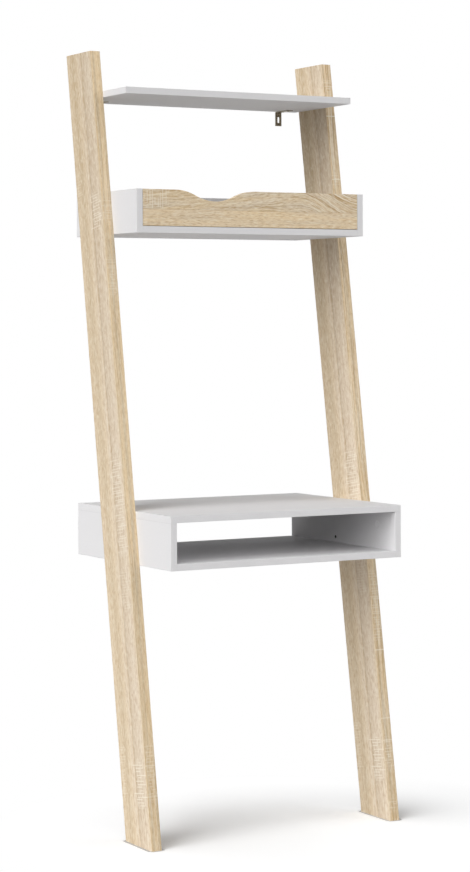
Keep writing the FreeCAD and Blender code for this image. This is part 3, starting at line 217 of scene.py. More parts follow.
WHITE_BOARDS = (
    "top_shelf",
    "desk_top",
    "desk_left_side",
    "desk_right_side",
    "desk_bottom",
    "case_left_side",
    "case_right_side",
    "case_bottom",
    "case_back",
    "drawer_left_side",
    "drawer_right_side",
    "drawer_back",
)
ZINC_FITTINGS = (
    "left_wall_bracket",
    "right_wall_bracket",
    "bracket_screws",
    "case_runner_screws",
    "drawer_runner_screws",
    "front_roller_pins",
    "rear_roller_pins",
)
RUNNERS = ("left_case_runner", "right_case_runner", "left_drawer_runner", "right_drawer_runner")
ROLLERS = ("left_front_roller", "right_front_roller", "left_rear_roller", "right_rear_roller")
CAMS = ("shelf_cams", "desk_cams", "case_cams", "drawer_cams")
CAM_BOLTS = ("shelf_cam_bolts", "desk_cam_bolts", "case_cam_bolts", "drawer_cam_bolts")
BLACK_SCREWS = ("desk_leg_screws", "case_leg_screws", "drawer_back_screws")
DOWELS = (
    "shelf_dowels",
    "desk_dowels",
    "desk_leg_dowels",
    "case_dowels",
    "case_leg_dowels",
    "drawer_dowels",
)

# ---------------------------------------------------------------- the stage

# To the camera the open floor is white. The lights' shadows are seen on it, and fade out between
# two distances from the middle of the feet, in metres.
FLOOR_WHITE = 1.02
FLOOR_FADE = (0.1, 0.62)
FLOOR_MIDDLE = (0.0, -0.1, 0.0)
# Brightness that the lights give a white floor where nothing shades it.
OPEN_FLOOR = 0.788
# A softer painted shade on the side away from the window: the direction in which it looks for what
# shades the floor, how far that outweighs straight up, its depth and its reach in metres.
SHADE_SIDE = (78, 0)
SHADE_LEAN = 9
SHADE_DEPTH = 0.75
SHADE_REACH = 0.42
# A narrow dark line of painted contact shadow where the feet stand.
PAINTED_CONTACT_SHADOW_DEPTH = 4.5
PAINTED_CONTACT_SHADOW_REACH = 0.010

# The name of each lamp and of its setting, its direction in degrees as toward() takes it, and the
# angle that its disc spans.
LAMPS = (
    ("window", 68, 26, 50),
    ("skylight", 70, 65, 40),
    ("fill", -55, 18, 60),
    ("back", 180, 0, 4),
)
# The world's colour.
WHITE = (1.0, 1.0, 1.0, 1.0)
# Width of the camera's sensor, in millimetres.
SENSOR_WIDTH = 36


# ---------------------------------------------------------------- colours and nodes


def colour(code):
    """Linear RGBA of an sRGB hex colour such as #D8C7AA."""
    values = [int(code[k : k + 2], 16) / 255 for k in (1, 3, 5)]
    linear = [v / 12.92 if v <= 0.04045 else ((v + 0.055) / 1.055) ** 2.4 for v in values]
    return (*linear, 1.0)


def hue(code):
    """The same as three numbers, for a colour property."""
    return colour(code)[:3]


def rgba(value):
    """A colour property's three numbers with full alpha, for a socket."""
    return (*value, 1.0)


def add(tree, kind, *inputs, named=None, stops=None, **settings):
    """Add a node and return it: settings first, then inputs in order or by name.

    An input is a value, one of a node's outputs, or a node, which stands for its output in use.
    The kind of a sum or another step may be followed by its operation, and a colour ramp takes
    its stops as places from 0 to 1 with a colour each.
    """
    kind, _, operation = kind.partition(" ")
    made = tree.nodes.new("ShaderNode" + kind)
    if operation:
        made.operation = operation
    for name, value in settings.items():
        setattr(made, name, value)
    for key, value in [*enumerate(inputs), *(named or {}).items()]:
        if isinstance(value, bpy.types.Node):
            value = next(socket for socket in value.outputs if socket.enabled)
        if isinstance(value, bpy.types.NodeSocket):
            tree.links.new(value, made.inputs[key])
        else:
            made.inputs[key].default_value = value
    if stops:
        band = made.color_ramp
        while len(band.elements) < len(stops):
            band.elements.new(0.5)
        for element, (place, tint) in zip(band.elements, stops):
            element.position = place
            element.color = tint
    return made


def new_material(name):
    """An empty material; returns it, a function that adds a node to it, and its shader."""
    material = bpy.data.materials.new(name)
    material.use_nodes = True
    material.node_tree.nodes.clear()
    node = partial(add, material.node_tree)
    shader = node("BsdfPrincipled")
    node("OutputMaterial", shader)
    return material, node, shader


def complete(material, shader, bump, base, **values):
    """Link the relief and colour, and set uniform values on the shader's own sockets."""
    for name, source in (("Normal", bump), ("Base Color", base)):
        socket = next(out for out in source.outputs if out.enabled)
        material.node_tree.links.new(socket, shader.inputs[name])
    for name, value in values.items():
        shader.inputs[name].default_value = value
    return material


def dress(pieces, material):
    """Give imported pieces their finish."""
    for piece in pieces:
        slots = NODES[piece].material_slots
        if not slots:
            raise RuntimeError(f"{piece} has no material slot")
        for slot in slots:
            slot.material = material


# ---------------------------------------------------------------- settings


class OakSettings(bpy.types.PropertyGroup):
    """Tones and grain of the oak foil"""

    plain: FloatVectorProperty(
        name="Plain", description="Main tone of the foil", subtype="COLOR", default=hue("#E6D4B8")
    )
    shade: FloatVectorProperty(
        name="Shade", description="Darker side of a plank", subtype="COLOR",
        default=hue("#D9C6A8")
    )
    pale: FloatVectorProperty(
        name="Pale", description="Greyish pale side of a plank", subtype="COLOR",
        default=hue("#E9DAC5")
    )
    golden: FloatVectorProperty(
        name="Golden", description="Warm tone of the foil on edges", subtype="COLOR",
        default=hue("#EFD8B2")
    )
    ash: FloatVectorProperty(
        name="Ash", description="Greyish side of a plank along its seam", subtype="COLOR",
        default=hue("#DCCBB4")
    )
    seam: FloatVectorProperty(
        name="Seam", description="Where two printed planks meet", subtype="COLOR",
        default=hue("#CCB89D")
    )
    grain: FloatVectorProperty(
        name="Grain", description="Growth lines and pores", subtype="COLOR",
        default=hue("#A87D43")
    )
    chalk: FloatVectorProperty(
        name="Chalk", description="Saw marks and pale flecks", subtype="COLOR",
        default=hue("#F6EEDF")
    )
    pore_length: FloatProperty(
        name="Pore length", description="Length of a single pore along the grain",
        unit="LENGTH", default=9 * MM
    )
    pore_width: FloatProperty(
        name="Pore width", description="Width of a single pore", unit="LENGTH", default=0.5 * MM
    )
    fleck_length: FloatProperty(
        name="Fleck length", description="Length of a cluster of pores along the grain",
        unit="LENGTH", default=15 * MM
    )
    fleck_width: FloatProperty(
        name="Fleck width",
        description="Pores are too fine to show from afar, so clusters are drawn this coarse",
        unit="LENGTH", default=3.0 * MM
    )
    rung_spacing: FloatProperty(
        name="Saw mark spacing", description="From one saw mark to the next", unit="LENGTH",
        default=6.8 * MM
    )
    rung_width: FloatProperty(
        name="Saw mark width",
        description="A real mark is 0.5 mm wide, so it is drawn this coarse to show",
        unit="LENGTH", default=2.2 * MM
    )


class BoardSettings(bpy.types.PropertyGroup):
    """Finish of the white boards"""

    white: FloatVectorProperty(
        name="White", description="Melamine face of the boards", subtype="COLOR",
        default=hue("#E6E5E6")
    )
    pearl: FloatProperty(
        name="Pearl",
        description="Real pearl grains are about 1 mm wide, so they are drawn this coarse to show",
        unit="LENGTH", default=5 * MM
    )
    edging: FloatProperty(
        name="Edging", description="Thickness of the edging on the boards", unit="LENGTH",
        default=0.9 * MM
    )


class StageSettings(bpy.types.PropertyGroup):
    """Camera, lights and floor"""

    eye: FloatVectorProperty(
        name="Camera place", description="Where the camera stands", subtype="TRANSLATION",
        unit="LENGTH", default=(-2.70775, -4.77862, 1.15816)
    )
    heading: FloatProperty(
        name="Heading", description="How far the camera is turned from the wall's normal",
        subtype="ANGLE", default=math.radians(29.49)
    )
    roll: FloatProperty(
        name="Roll", description="Tilt of the picture", subtype="ANGLE",
        default=math.radians(0.27)
    )
    lens: FloatProperty(
        name="Focal length", description="Of the camera, for a 36 mm sensor", unit="CAMERA",
        default=97.302
    )
    rise: FloatProperty(
        name="Shift", description="Rise of the lens, as a share of the picture's longer side",
        default=-0.1288
    )
    window: FloatProperty(
        name="Window", description="Strength of the broad light from the left", default=2.5
    )
    skylight: FloatProperty(
        name="Skylight", description="Strength of the high light", default=0.49
    )
    fill: FloatProperty(
        name="Fill", description="Strength of the low light from the front right", default=1.3
    )
    back: FloatProperty(
        name="Back light", description="Strength of the low light from behind", default=0.32
    )
    ambient: FloatProperty(
        name="Room light", description="Strength of the even light all round", default=0.11
    )
    floor: FloatVectorProperty(
        name="Floor", description="Tone of the floor where light bounces off it",
        subtype="COLOR", default=hue("#D8D8D8")
    )
    floor_reach: FloatProperty(
        name="Floor reach", description="From the middle of the floor to its edge",
        unit="LENGTH", default=5.0
    )


# ---------------------------------------------------------------- patterns of the foil


def board_axes(node, along, across, origin):
    """Millimetres along the grain, across it and through the board, from an origin."""
    place = node("VectorMath SUBTRACT", node("TexCoord").outputs["Object"], origin)
    through = Vector(along).cross(Vector(across))
    return [
        node("VectorMath DOT_PRODUCT", place, Vector(axis) / MM).outputs["Value"]
        for axis in (along, across, through)
    ]


def streaks(node, u, v, size, sheet, detail=2.0, roughness=0.5, distortion=0.0):
    """Noise whose blotches have a length and a width; each sheet number has its own blotches."""
    length, width = size
    place = node(
        "CombineXYZ", node("Math DIVIDE", u, length), node("Math DIVIDE", v, width), sheet
    )
    return node(
        "TexNoise",
        named={
            "Vector": place,
            "Scale": 1.0,
            "Detail": detail,
            "Roughness": roughness,
            "Distortion": distortion,
        },
    )


def between(node, value, low, high, soft):
    """1 where a value lies between two limits, fading out over a soft width."""
    rise = node("MapRange", value, low - soft, low + soft, interpolation_type="SMOOTHSTEP")
    fall = node("MapRange", value, high + soft, high - soft, interpolation_type="SMOOTHSTEP")
    return node("Math MULTIPLY", rise, fall)


def overlay(node, base, *layers, how="MIX"):
    """Lay tones over a base colour in turn, each as far as its share says."""
    for share, tone in layers:
        base = node(
            "Mix", named={"Factor": share, "A": base, "B": tone}, data_type="RGBA", blend_type=how
        )
    return base


def chances(node, *cell):
    """Three chances from 0 to 1 that stay the same all over a cell."""
    noise = node("TexWhiteNoise", node("CombineXYZ", *cell))
    return node("SeparateColor", noise.outputs["Color"]).outputs


def saw_marks(node, oak, u, v, strip, sheet):
    """Marks where the blade bit: pale rungs across the grain with short rails along it."""
    left, right = strip
    room = right - left
    spacing = oak.rung_spacing / MM
    share = oak.rung_width / MM / spacing
    cells = node("Math DIVIDE", u, spacing)
    chance = chances(node, node("Math FLOOR", cells), sheet, 0.0)
    # Each rung has its own place in its cell, its own middle and its own length.
    place = node("Math MULTIPLY_ADD", chance[0], *RUNG_PLACE)
    gap = node("Math ABSOLUTE", node("Math SUBTRACT", node("Math FRACT", cells), place))
    rung = node("MapRange", gap, *(share * edge for edge in RUNG_FADE))
    middle = node("MapRange", chance[1], 0.0, 1.0, *(left + part * room for part in RUNG_MIDDLE))
    reach = node("Math MULTIPLY_ADD", chance[2], *(part * room for part in RUNG_REACH))
    over = node("Math SUBTRACT", node("Math ABSOLUTE", node("Math SUBTRACT", v, middle)), reach)
    rung = node("Math MULTIPLY", rung, node("MapRange", over, RUNG_END, -RUNG_END))
    # Rails run along the grain past a few rungs, in lanes.
    lanes = node("Math DIVIDE", v, RAIL_LANE)
    lane = node("Math FLOOR", lanes)
    blocks = node("Math MULTIPLY_ADD", lane, RAIL_STAGGER, node("Math DIVIDE", u, RAIL_BLOCK))
    chance = chances(node, lane, node("Math FLOOR", blocks), sheet)
    offset = node("Math SUBTRACT", node("Math FRACT", lanes), chance[0])
    rail = node("MapRange", node("Math ABSOLUTE", offset), *RAIL_FADE)
    rail = node("Math MULTIPLY", rail, node("Math GREATER_THAN", chance[1], RAIL_MISSING))
    rail = node("Math MULTIPLY", rail, between(node, v, left, right, RAIL_BORDER))
    return node("Math MAXIMUM", rung, node("Math MULTIPLY", rail, RAIL_STRENGTH))


def stretches(node, u, patches, soft=10.0):
    """Strength along the board of patches, each with a start, an end and a strength."""
    total = 0.0
    for start, end, strength in patches:
        part = node("Math MULTIPLY", between(node, u, start, end, soft), strength)
        total = node("Math MAXIMUM", part, total)
    return total


def grained(node, oak, base, u, v, sheet, rings=None, lines=0.3, flecks=0.3, line_width=4.5,
            broad=1.0):
    """Growth lines and flecks over a base tone; returns the colour and how deep it is cut.

    The lines keep to places of equal rings, where these are given, and else run straight. Flecks
    may be drawn broader than the setting says.
    """
    line_size = (LINE_LENGTH, line_width)
    growth = streaks(node, u, rings or v, line_size, sheet, detail=3, roughness=0.6)
    painted_floor_shade = node("MapRange", growth, *DARK_LINES, 0.0, lines)
    light = node("MapRange", growth, *PALE_LINES, 0.0, lines * PALE_LINE_GAIN)
    fleck_size = (oak.fleck_length / MM, broad * oak.fleck_width / MM)
    fleck_sheet = node("Math ADD", sheet, FLECK_SHEET)
    fleck = streaks(node, u, v, fleck_size, fleck_sheet, detail=2, distortion=0.6)
    cluster = node("MapRange", fleck, *DARK_FLECKS, 0.0, flecks)
    glint = node("MapRange", fleck, *PALE_FLECKS, 0.0, flecks * PALE_FLECK_GAIN)
    pore_size = (oak.pore_length / MM, oak.pore_width / MM)
    fine = streaks(node, u, v, pore_size, node("Math ADD", sheet, PORE_SHEET))
    pore = node("MapRange", fine, *PORES, 0.0, PORE_STRENGTH)
    grain, chalk = rgba(oak.grain), rgba(oak.chalk)
    base = overlay(
        node, base, (painted_floor_shade, grain), (light, chalk), (cluster, grain), (glint, chalk), (pore, grain)
    )
    return base, node("Math ADD", node("Math ADD", cluster, painted_floor_shade), pore)


# ---------------------------------------------------------------- materials


def oak_foil(material, node, shader, base, marks, cut, oak):
    """Lay the saw marks over the grain and give the foil its pressed relief and satin sheen."""
    base = overlay(node, base, (marks, rgba(oak.chalk)))
    # The grain is pressed in, and a saw mark stands up by half as much.
    depth = node("Math SUBTRACT", node("Math MULTIPLY", marks, 0.5), cut)
    bump = node("Bump", named={"Strength": 0.3, "Distance": 0.15 * MM, "Height": depth})
    return complete(
        material, shader, bump, base, Roughness=0.58, **{"Specular IOR Level": 0.15}
    )


def leg_face(node, oak, u, v, far):
    """A leg's inner or outer face: its colour, how deep it is cut, and its saw marks."""
    run = node("Math MULTIPLY_ADD", far, FACE_SHIFT, u)
    drift = streaks(node, run, 0.0, (WANDER_LENGTH, 1), sheet=3.0, detail=1)
    width = node("Math MULTIPLY_ADD", drift, WANDER, node("Math SUBTRACT", v, WANDER / 2))
    planks = [(place / LEG_WIDTH, rgba(getattr(oak, tone))) for place, tone in FACE_PLANKS]
    face = node("ValToRGB", node("Math DIVIDE", width, LEG_WIDTH), stops=planks)
    # The clouds of the two faces come from different sheets.
    cloud_sheet = node("Math MULTIPLY_ADD", far, 9.0, 5.0)
    cloud = streaks(node, run, width, CLOUD_SIZE, cloud_sheet)
    cloudy = node("MapRange", cloud, *CLOUD_LIMITS, 0.0, CLOUD_STRENGTH)
    face = overlay(node, face, (cloudy, rgba(oak.shade)))
    # Painted shade: the face darkens towards the top.
    face = overlay(node, face, (node("MapRange", u, *FACE_TOP_PAINTED_SHADE), FACE_TOP_PAINTED_SHADE_TONE), how="MULTIPLY")
    face, cut = grained(
        node, oak, face, run, width, sheet=1.0, lines=0.15, flecks=0.3, broad=1.8
    )
    front = node(
        "Math MULTIPLY",
        saw_marks(node, oak, run, v, FRONT_STRIP, sheet=4.0),
        stretches(node, run, FRONT_SAW_PATCHES),
    )
    back = node(
        "Math MULTIPLY",
        saw_marks(node, oak, run, v, BACK_STRIP, sheet=6.0),
        stretches(node, run, BACK_SAW_PATCHES),
    )
    return face, cut, node("Math MAXIMUM", front, back)


def leg_edge(node, oak, u, thick, sheet, lines, patches, crossings):
    """A leg's front or back edge: its colour, how deep it is cut, and its saw marks."""
    band = streaks(node, u, thick, EDGE_BAND_SIZE, sheet)
    banded = node("MapRange", band, *EDGE_BAND_LIMITS)
    edge = overlay(node, rgba(oak.golden), (banded, rgba(oak.shade)))
    # Painted shade: the edge darkens towards the foot.
    edge = overlay(node, edge, (node("MapRange", u, *EDGE_FOOT_PAINTED_SHADE), EDGE_FOOT_PAINTED_SHADE_TONE), how="MULTIPLY")
    # Nested long arches, as in a board sawn near the heart of the log.
    heart = streaks(node, u, 0.0, (HEART_LENGTH, 1), sheet, detail=1)
    aside = node("Math SUBTRACT", thick, node("Math MULTIPLY", heart, HEART_WIDTH))
    arch = node("Math POWER", node("Math ABSOLUTE", aside), 2.0)
    along = node("Math DIVIDE", u, -ARCH_LENGTH)
    rings = node("Math MULTIPLY_ADD", arch, 1 / ARCH_CURVE, along)
    edge, cut = grained(
        node, oak, edge, u, thick, sheet + 2.0, rings, lines=lines, flecks=0.25, line_width=2.6
    )
    marks = node(
        "Math MULTIPLY",
        saw_marks(node, oak, u, thick, (0.0, LEG_THICKNESS), sheet),
        stretches(node, u, patches),
    )
    narrow = [
        (place - EDGE_LINE_HALF, place + EDGE_LINE_HALF, share) for place, share in crossings
    ]
    across = stretches(node, u, narrow, EDGE_LINE_SOFT)
    return edge, cut, node("Math MAXIMUM", marks, across)


def oak_leg_foil(name, oak, low, sheet, edge_print):
    """Printed sawn oak foil wrapped round a particleboard plank, with a pressed texture.

    It gives two planks side by side on each face, a warm one and a greyish one parted by a
    darker seam, with fine flecks along the grain and patches of pale saw marks across it. The
    edges are warmer and more strongly lined. The foil is satin and never glossy.
    """
    material, node, shader = new_material(name)
    u, v, w = board_axes(node, LEG_RUN, LEG_FRONT, LEG_FOOT)
    normal = node("TexCoord").outputs["Normal"]
    facing = node("VectorMath DOT_PRODUCT", normal, LEG_FRONT).outputs["Value"]
    on_edge = node("Math GREATER_THAN", node("Math ABSOLUTE", facing), EDGE_COSINE)
    # 1 on the face towards the right, which takes a part of the print further along.
    far = node("Math GREATER_THAN", node("SeparateXYZ", normal).outputs[0], RIGHT_COSINE)
    thick = node("Math SUBTRACT", w, low.x / MM)
    face, face_cut, face_marks = leg_face(node, oak, u, v, far)
    edge, edge_cut, edge_marks = leg_edge(node, oak, u, thick, sheet, *edge_print)
    base = overlay(node, face, (on_edge, edge))
    marks = node("Mix", named={"Factor": on_edge, "A": face_marks, "B": edge_marks})
    cut = node("Mix", named={"Factor": on_edge, "A": face_cut, "B": edge_cut})
    return oak_foil(material, node, shader, base, marks, cut, oak)


def figured_plank(node, oak, x, z):
    """The drawer front's upper plank: its colour and how deep it is cut."""
    end = CROWN_PLACE + CROWN_LENGTH
    climb = node("MapRange", x, 0.0, CROWN_PLACE, *CROWN_CLIMB)
    fall = node(
        "MapRange", x, CROWN_PLACE, end, 0.0, CROWN_FALL, interpolation_type="SMOOTHSTEP"
    )
    wave = streaks(node, x, z, UPPER_RIPPLE_SIZE, sheet=8.0)
    ripple = node("Math MULTIPLY", wave, UPPER_RIPPLE)
    lift = node("Math ADD", node("Math SUBTRACT", climb, fall), ripple)
    bent = node("Math SUBTRACT", z, lift)
    band = streaks(node, x, bent, UPPER_BAND_SIZE, sheet=12.0)
    banded = node("MapRange", band, *UPPER_BAND_LIMITS)
    plank = overlay(node, rgba(oak.golden), (banded, rgba(oak.plain)))
    plank = overlay(node, plank, (1.0, UPPER_PLANK_TONE), how="MULTIPLY")
    in_crown = between(node, x, CROWN_PLACE + CROWN_START, end, CROWN_BORDER)
    strong = node("Math MULTIPLY_ADD", in_crown, CROWN_LINE_STRENGTH, UPPER_LINE_STRENGTH)
    growth = streaks(node, x, bent, UPPER_LINE_SIZE, sheet=14.0)
    for limits, tone in ((DARK_LINES, oak.grain), (PALE_LINES, oak.chalk)):
        share = node("Math MULTIPLY", node("MapRange", growth, *limits), strong)
        plank = overlay(node, plank, (share, rgba(tone)))
    plank, cut = grained(
        node, oak, plank, x, bent, sheet=16.0, lines=0.08, flecks=0.42, broad=0.75
    )
    island = 0.0
    for place, middle, half in zip((x, z), ISLAND_PLACE, ISLAND_HALF):
        offset = node("Math DIVIDE", node("Math SUBTRACT", place, middle), half)
        island = node("Math MULTIPLY_ADD", offset, offset, island)
    inside = node("MapRange", island, *ISLAND_FADE, 0.0, ISLAND_STRENGTH)
    return overlay(node, plank, (inside, rgba(oak.grain))), cut


def plain_plank(node, oak, x, z):
    """The drawer front's lower plank: its colour and how deep it is cut."""
    wave = streaks(node, x, z, LOWER_RIPPLE_SIZE, sheet=18.0)
    bent = node("Math MULTIPLY_ADD", wave, LOWER_RIPPLE, z)
    band = streaks(node, x, bent, LOWER_BAND_SIZE, sheet=22.0)
    banded = node("MapRange", band, *LOWER_BAND_LIMITS)
    plank = overlay(node, rgba(oak.golden), (banded, rgba(oak.plain)))
    return grained(
        node, oak, plank, x, bent, sheet=24.0, lines=0.15, flecks=0.42, broad=0.75
    )


def oak_drawer_foil(name, oak, low, high):
    """The same sawn oak foil with its grain level: a figured plank above a plain one.

    The upper plank's growth lines climb slowly to the right and then fall away, as in a board
    cut through the crown of the log. Upright saw marks stand at its left end.
    """
    material, node, shader = new_material(name)
    x, z, _ = board_axes(node, (1, 0, 0), (0, 0, 1), low)
    height = (high.z - low.z) / MM
    upper = node("MapRange", z, SEAM_HEIGHT - SEAM_SOFT, SEAM_HEIGHT + SEAM_SOFT)
    figured, figured_cut = figured_plank(node, oak, x, z)
    plain, plain_cut = plain_plank(node, oak, x, z)
    base = overlay(node, plain, (upper, figured))
    seam = between(node, z, SEAM_HEIGHT - SEAM_HALF, SEAM_HEIGHT + SEAM_HALF, SEAM_SOFT)
    base = overlay(node, base, (node("Math MULTIPLY", seam, SEAM_STRENGTH), rgba(oak.grain)))
    teeth = saw_marks(node, oak, x, z, (SEAM_HEIGHT, height), sheet=5.0)
    patch = between(node, x, *DRAWER_SAW_PATCH)
    marks = node("Math MULTIPLY", node("Math MULTIPLY", teeth, patch), upper)
    marks = node("Math MULTIPLY", marks, DRAWER_SAW_STRENGTH)
    cut = node("Math ADD", plain_cut, figured_cut)
    return oak_foil(material, node, shader, base, marks, cut, oak)


def white_melamine(name, board, low, high):
    """White melamine paper pressed on particleboard, with edging of the same white.

    It gives an even satin white with a fine pearl texture, and a hairline where the edging
    meets the face.
    """
    material, node, shader = new_material(name)
    place = node("TexCoord").outputs["Object"]
    pearl = node(
        "TexNoise",
        named={"Vector": place, "Scale": 1 / board.pearl, "Detail": 3, "Roughness": 0.6},
    )
    shade = node("MapRange", pearl, 0.0, 1.0, *PEARL_TONES)
    normal = node("VectorMath ABSOLUTE", node("TexCoord").outputs["Normal"])
    axes = node("SeparateXYZ", place).outputs
    faces = node("SeparateXYZ", normal).outputs
    size = [b - a for a, b in zip(low, high)]
    thin = size.index(min(size))
    # How far a place on the broad faces is from the line along the edging, both ways.
    gaps = []
    for axis in range(3):
        if axis != thin:
            near = node("Math SUBTRACT", axes[axis], low[axis] + board.edging)
            far = node("Math SUBTRACT", high[axis] - board.edging, axes[axis])
            gaps.append(node("Math ABSOLUTE", node("Math MINIMUM", near, far)))
    gap = node("Math MINIMUM", *gaps)
    hairline = node("MapRange", gap, *HAIRLINE_FADE, 0.0, HAIRLINE_STRENGTH)
    broad = node("Math GREATER_THAN", faces[thin], BROAD_COSINE)
    line = node("Math MULTIPLY", hairline, broad)
    darker = node("Math SUBTRACT", shade, line)
    tint = node("VectorMath SCALE", board.white, named={"Scale": darker})
    bump = node("Bump", named={"Strength": 0.12, "Distance": 0.05 * MM, "Height": pearl})
    return complete(
        material, shader, bump, tint, Roughness=0.6, **{"Specular IOR Level": 0.06}
    )


def mottled(name, code, other, grain, roughness, metallic=0.0, stretch=(1, 1, 1)):
    """A mottle between two tones, with grains of a size in millimetres and a matching relief."""
    material, node, shader = new_material(name)
    place = node("Mapping", node("TexCoord").outputs["Object"], named={"Scale": stretch})
    mottle = node("TexNoise", named={"Vector": place, "Scale": 1 / (grain * MM), "Detail": 4})
    tint = node("ValToRGB", mottle, stops=((0.3, colour(code)), (0.7, colour(other))))
    bump = node("Bump", named={"Strength": 0.3, "Distance": 0.02 * MM, "Height": mottle})
    return complete(material, shader, bump, tint, Roughness=roughness, Metallic=metallic)


def zinc_plated_steel():
    """Stamped steel, zinc plated and passivated: a warm grey metal, dull and slightly patchy."""
    return mottled("zinc_plated_steel", "#8C8474", "#A39B8A", 2.0, 0.42, metallic=0.9)


def white_enamelled_steel():
    """Rolled steel under baked white enamel: an even, faintly warm white with a soft shine."""
    return mottled("white_enamelled_steel", "#DEDDD8", "#E8E7E3", 1.5, 0.38)


def moulded_nylon():
    """Injection moulded nylon: a creamy white with a dull shine."""
    return mottled("moulded_nylon", "#D9D6CA", "#E4E1D6", 1.0, 0.45)


def die_cast_zinc():
    """Tumbled zinc casting: a light cool grey metal with a fine grain."""
    return mottled("die_cast_zinc", "#A4A5A6", "#BDBEBF", 0.8, 0.4, metallic=0.9)


def zinc_plated_bolt():
    """Turned steel with bright zinc plating: paler and shinier than the stamped brackets."""
    return mottled("zinc_plated_bolt", "#B0ADA6", "#C6C3BC", 0.8, 0.35, metallic=0.95)


def moulded_white_plastic():
    """Injection moulded plastic: a plain white close to that of the boards, slightly shinier."""
    return mottled("moulded_white_plastic", "#E8E7E8", "#EEEDEE", 0.8, 0.4)


def black_phosphated_steel():
    """Steel with a phosphate coat and oil: nearly black and matt."""
    return mottled("black_phosphated_steel", "#1C1B1A", "#2B2A28", 0.5, 0.55)


def turned_beech():
    """Turned beech: light brown, dry and matt, with short fine streaks."""
    return mottled("turned_beech", "#C9A173", "#D9B58A", 2.0, 0.6, stretch=(1, 6, 6))


def lacquered_hardboard():
    """Pressed fibreboard with white lacquer: an even off-white, a little greyer than the boards."""
    return mottled("lacquered_hardboard", "#DCDBD8", "#E6E5E2", 3.0, 0.5)


def toward(azimuth, height):
    """The direction of a light, in degrees round from the front to the left, and up."""
    turn, rise = math.radians(azimuth), math.radians(height)
    return Vector(
        (-math.sin(turn) * math.cos(rise), -math.cos(turn) * math.cos(rise), math.sin(rise))
    )


def seen_directly(node):
    """1 on rays from the camera, a mirror or a lens, 0 on rays that carry light."""
    path = node("LightPath").outputs
    seen = node("Math MAXIMUM", path["Is Camera Ray"], path["Is Glossy Ray"])
    return node("Math MAXIMUM", seen, path["Is Transmission Ray"])


def pale_studio_floor(stage):
    """A seamless pale floor: white to the eye, the lamps' soft shadow at the feet kept, painted
    shade added.
    """
    material, node, shader = new_material("pale_studio_floor")
    seen = seen_directly(node)
    away = node("VectorMath DISTANCE", node("NewGeometry").outputs["Position"], FLOOR_MIDDLE)
    share = node("MapRange", away, *FLOOR_FADE, 1.0, 0.0, interpolation_type="SMOOTHSTEP")
    diffuse = node("BsdfDiffuse", overlay(node, rgba(stage.floor), (seen, share)))
    # Painted shade: occlusion is looked for on the light's side only, so it falls away from the
    # light.
    up = node("NewGeometry").outputs["Normal"]
    lean = node(
        "VectorMath NORMALIZE", node("VectorMath ADD", up, SHADE_LEAN * toward(*SHADE_SIDE))
    )
    shade = node(
        "AmbientOcclusion", named={"Distance": SHADE_REACH, "Normal": lean}, samples=16
    ).outputs["AO"]
    # A painted contact shadow where the feet stand.
    painted_contact_shadow = node("AmbientOcclusion", named={"Distance": PAINTED_CONTACT_SHADOW_REACH}).outputs["AO"]
    painted_floor_shade = node("MapRange", shade, 1.0, 0.0, 0.0, SHADE_DEPTH)
    painted_floor_shade = node("Math ADD", painted_floor_shade, node("MapRange", painted_contact_shadow, 1.0, 0.0, 0.0, PAINTED_CONTACT_SHADOW_DEPTH))
    open_glow = node("Math MULTIPLY_ADD", share, -OPEN_FLOOR, FLOOR_WHITE)
    glow = node("Math SUBTRACT", open_glow, painted_floor_shade, use_clamp=True)
    emission = node("Emission", named={"Strength": node("Math MULTIPLY", glow, seen)})
    both = node("AddShader", diffuse, emission)
    output = shader.outputs[0].links[0].to_node
    material.node_tree.links.new(both.outputs[0], output.inputs[0])
    material.node_tree.nodes.remove(shader)
    return material


# ---------------------------------------------------------------- operators


class LADDERDESK_OT_legs(bpy.types.Operator):
    """Wrap both legs in sawn oak foil"""

    bl_idname = "ladderdesk.legs"
    bl_label = "Legs"

    def execute(self, context):
        oak = context.scene.ladderdesk_oak
        for number, (node, edge_print) in enumerate(LEG_EDGES.items(), start=1):
            low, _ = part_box(node)
            # The edges of the two legs take different sheets of noise.
            foil = oak_leg_foil(f"sawn_oak_foil_{node}", oak, low, 30.0 * number, edge_print)
            dress([node], foil)
        return {"FINISHED"}


class LADDERDESK_OT_drawer_front(bpy.types.Operator):
    """Cover the drawer front in sawn oak foil with its grain lying level"""

    bl_idname = "ladderdesk.drawer_front"
    bl_label = "Drawer front"

    def execute(self, context):
        oak = context.scene.ladderdesk_oak
        low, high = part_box("drawer_front")
        dress(["drawer_front"], oak_drawer_foil("sawn_oak_foil_drawer_front", oak, low, high))
        return {"FINISHED"}


class LADDERDESK_OT_white_boards(bpy.types.Operator):
    """Face the shelf, desk, case and drawer boards with white melamine"""

    bl_idname = "ladderdesk.white_boards"
    bl_label = "White boards"

    def execute(self, context):
        board = context.scene.ladderdesk_board
        for node in WHITE_BOARDS:
            low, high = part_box(node)
            dress([node], white_melamine(f"white_melamine_{node}", board, low, high))
        return {"FINISHED"}


class LADDERDESK_OT_zinc_fittings(bpy.types.Operator):
    """Plate the wall brackets, their screws, the runner screws and the roller pins with zinc"""

    bl_idname = "ladderdesk.zinc_fittings"
    bl_label = "Brackets, screws and pins"

    def execute(self, context):
        dress(ZINC_FITTINGS, zinc_plated_steel())
        return {"FINISHED"}


class LADDERDESK_OT_runners(bpy.types.Operator):
    """Enamel the drawer's runners white"""

    bl_idname = "ladderdesk.runners"
    bl_label = "Runners"

    def execute(self, context):
        dress(RUNNERS, white_enamelled_steel())
        return {"FINISHED"}


class LADDERDESK_OT_rollers(bpy.types.Operator):
    """Make the runners' rollers of nylon"""

    bl_idname = "ladderdesk.rollers"
    bl_label = "Rollers"

    def execute(self, context):
        dress(ROLLERS, moulded_nylon())
        return {"FINISHED"}


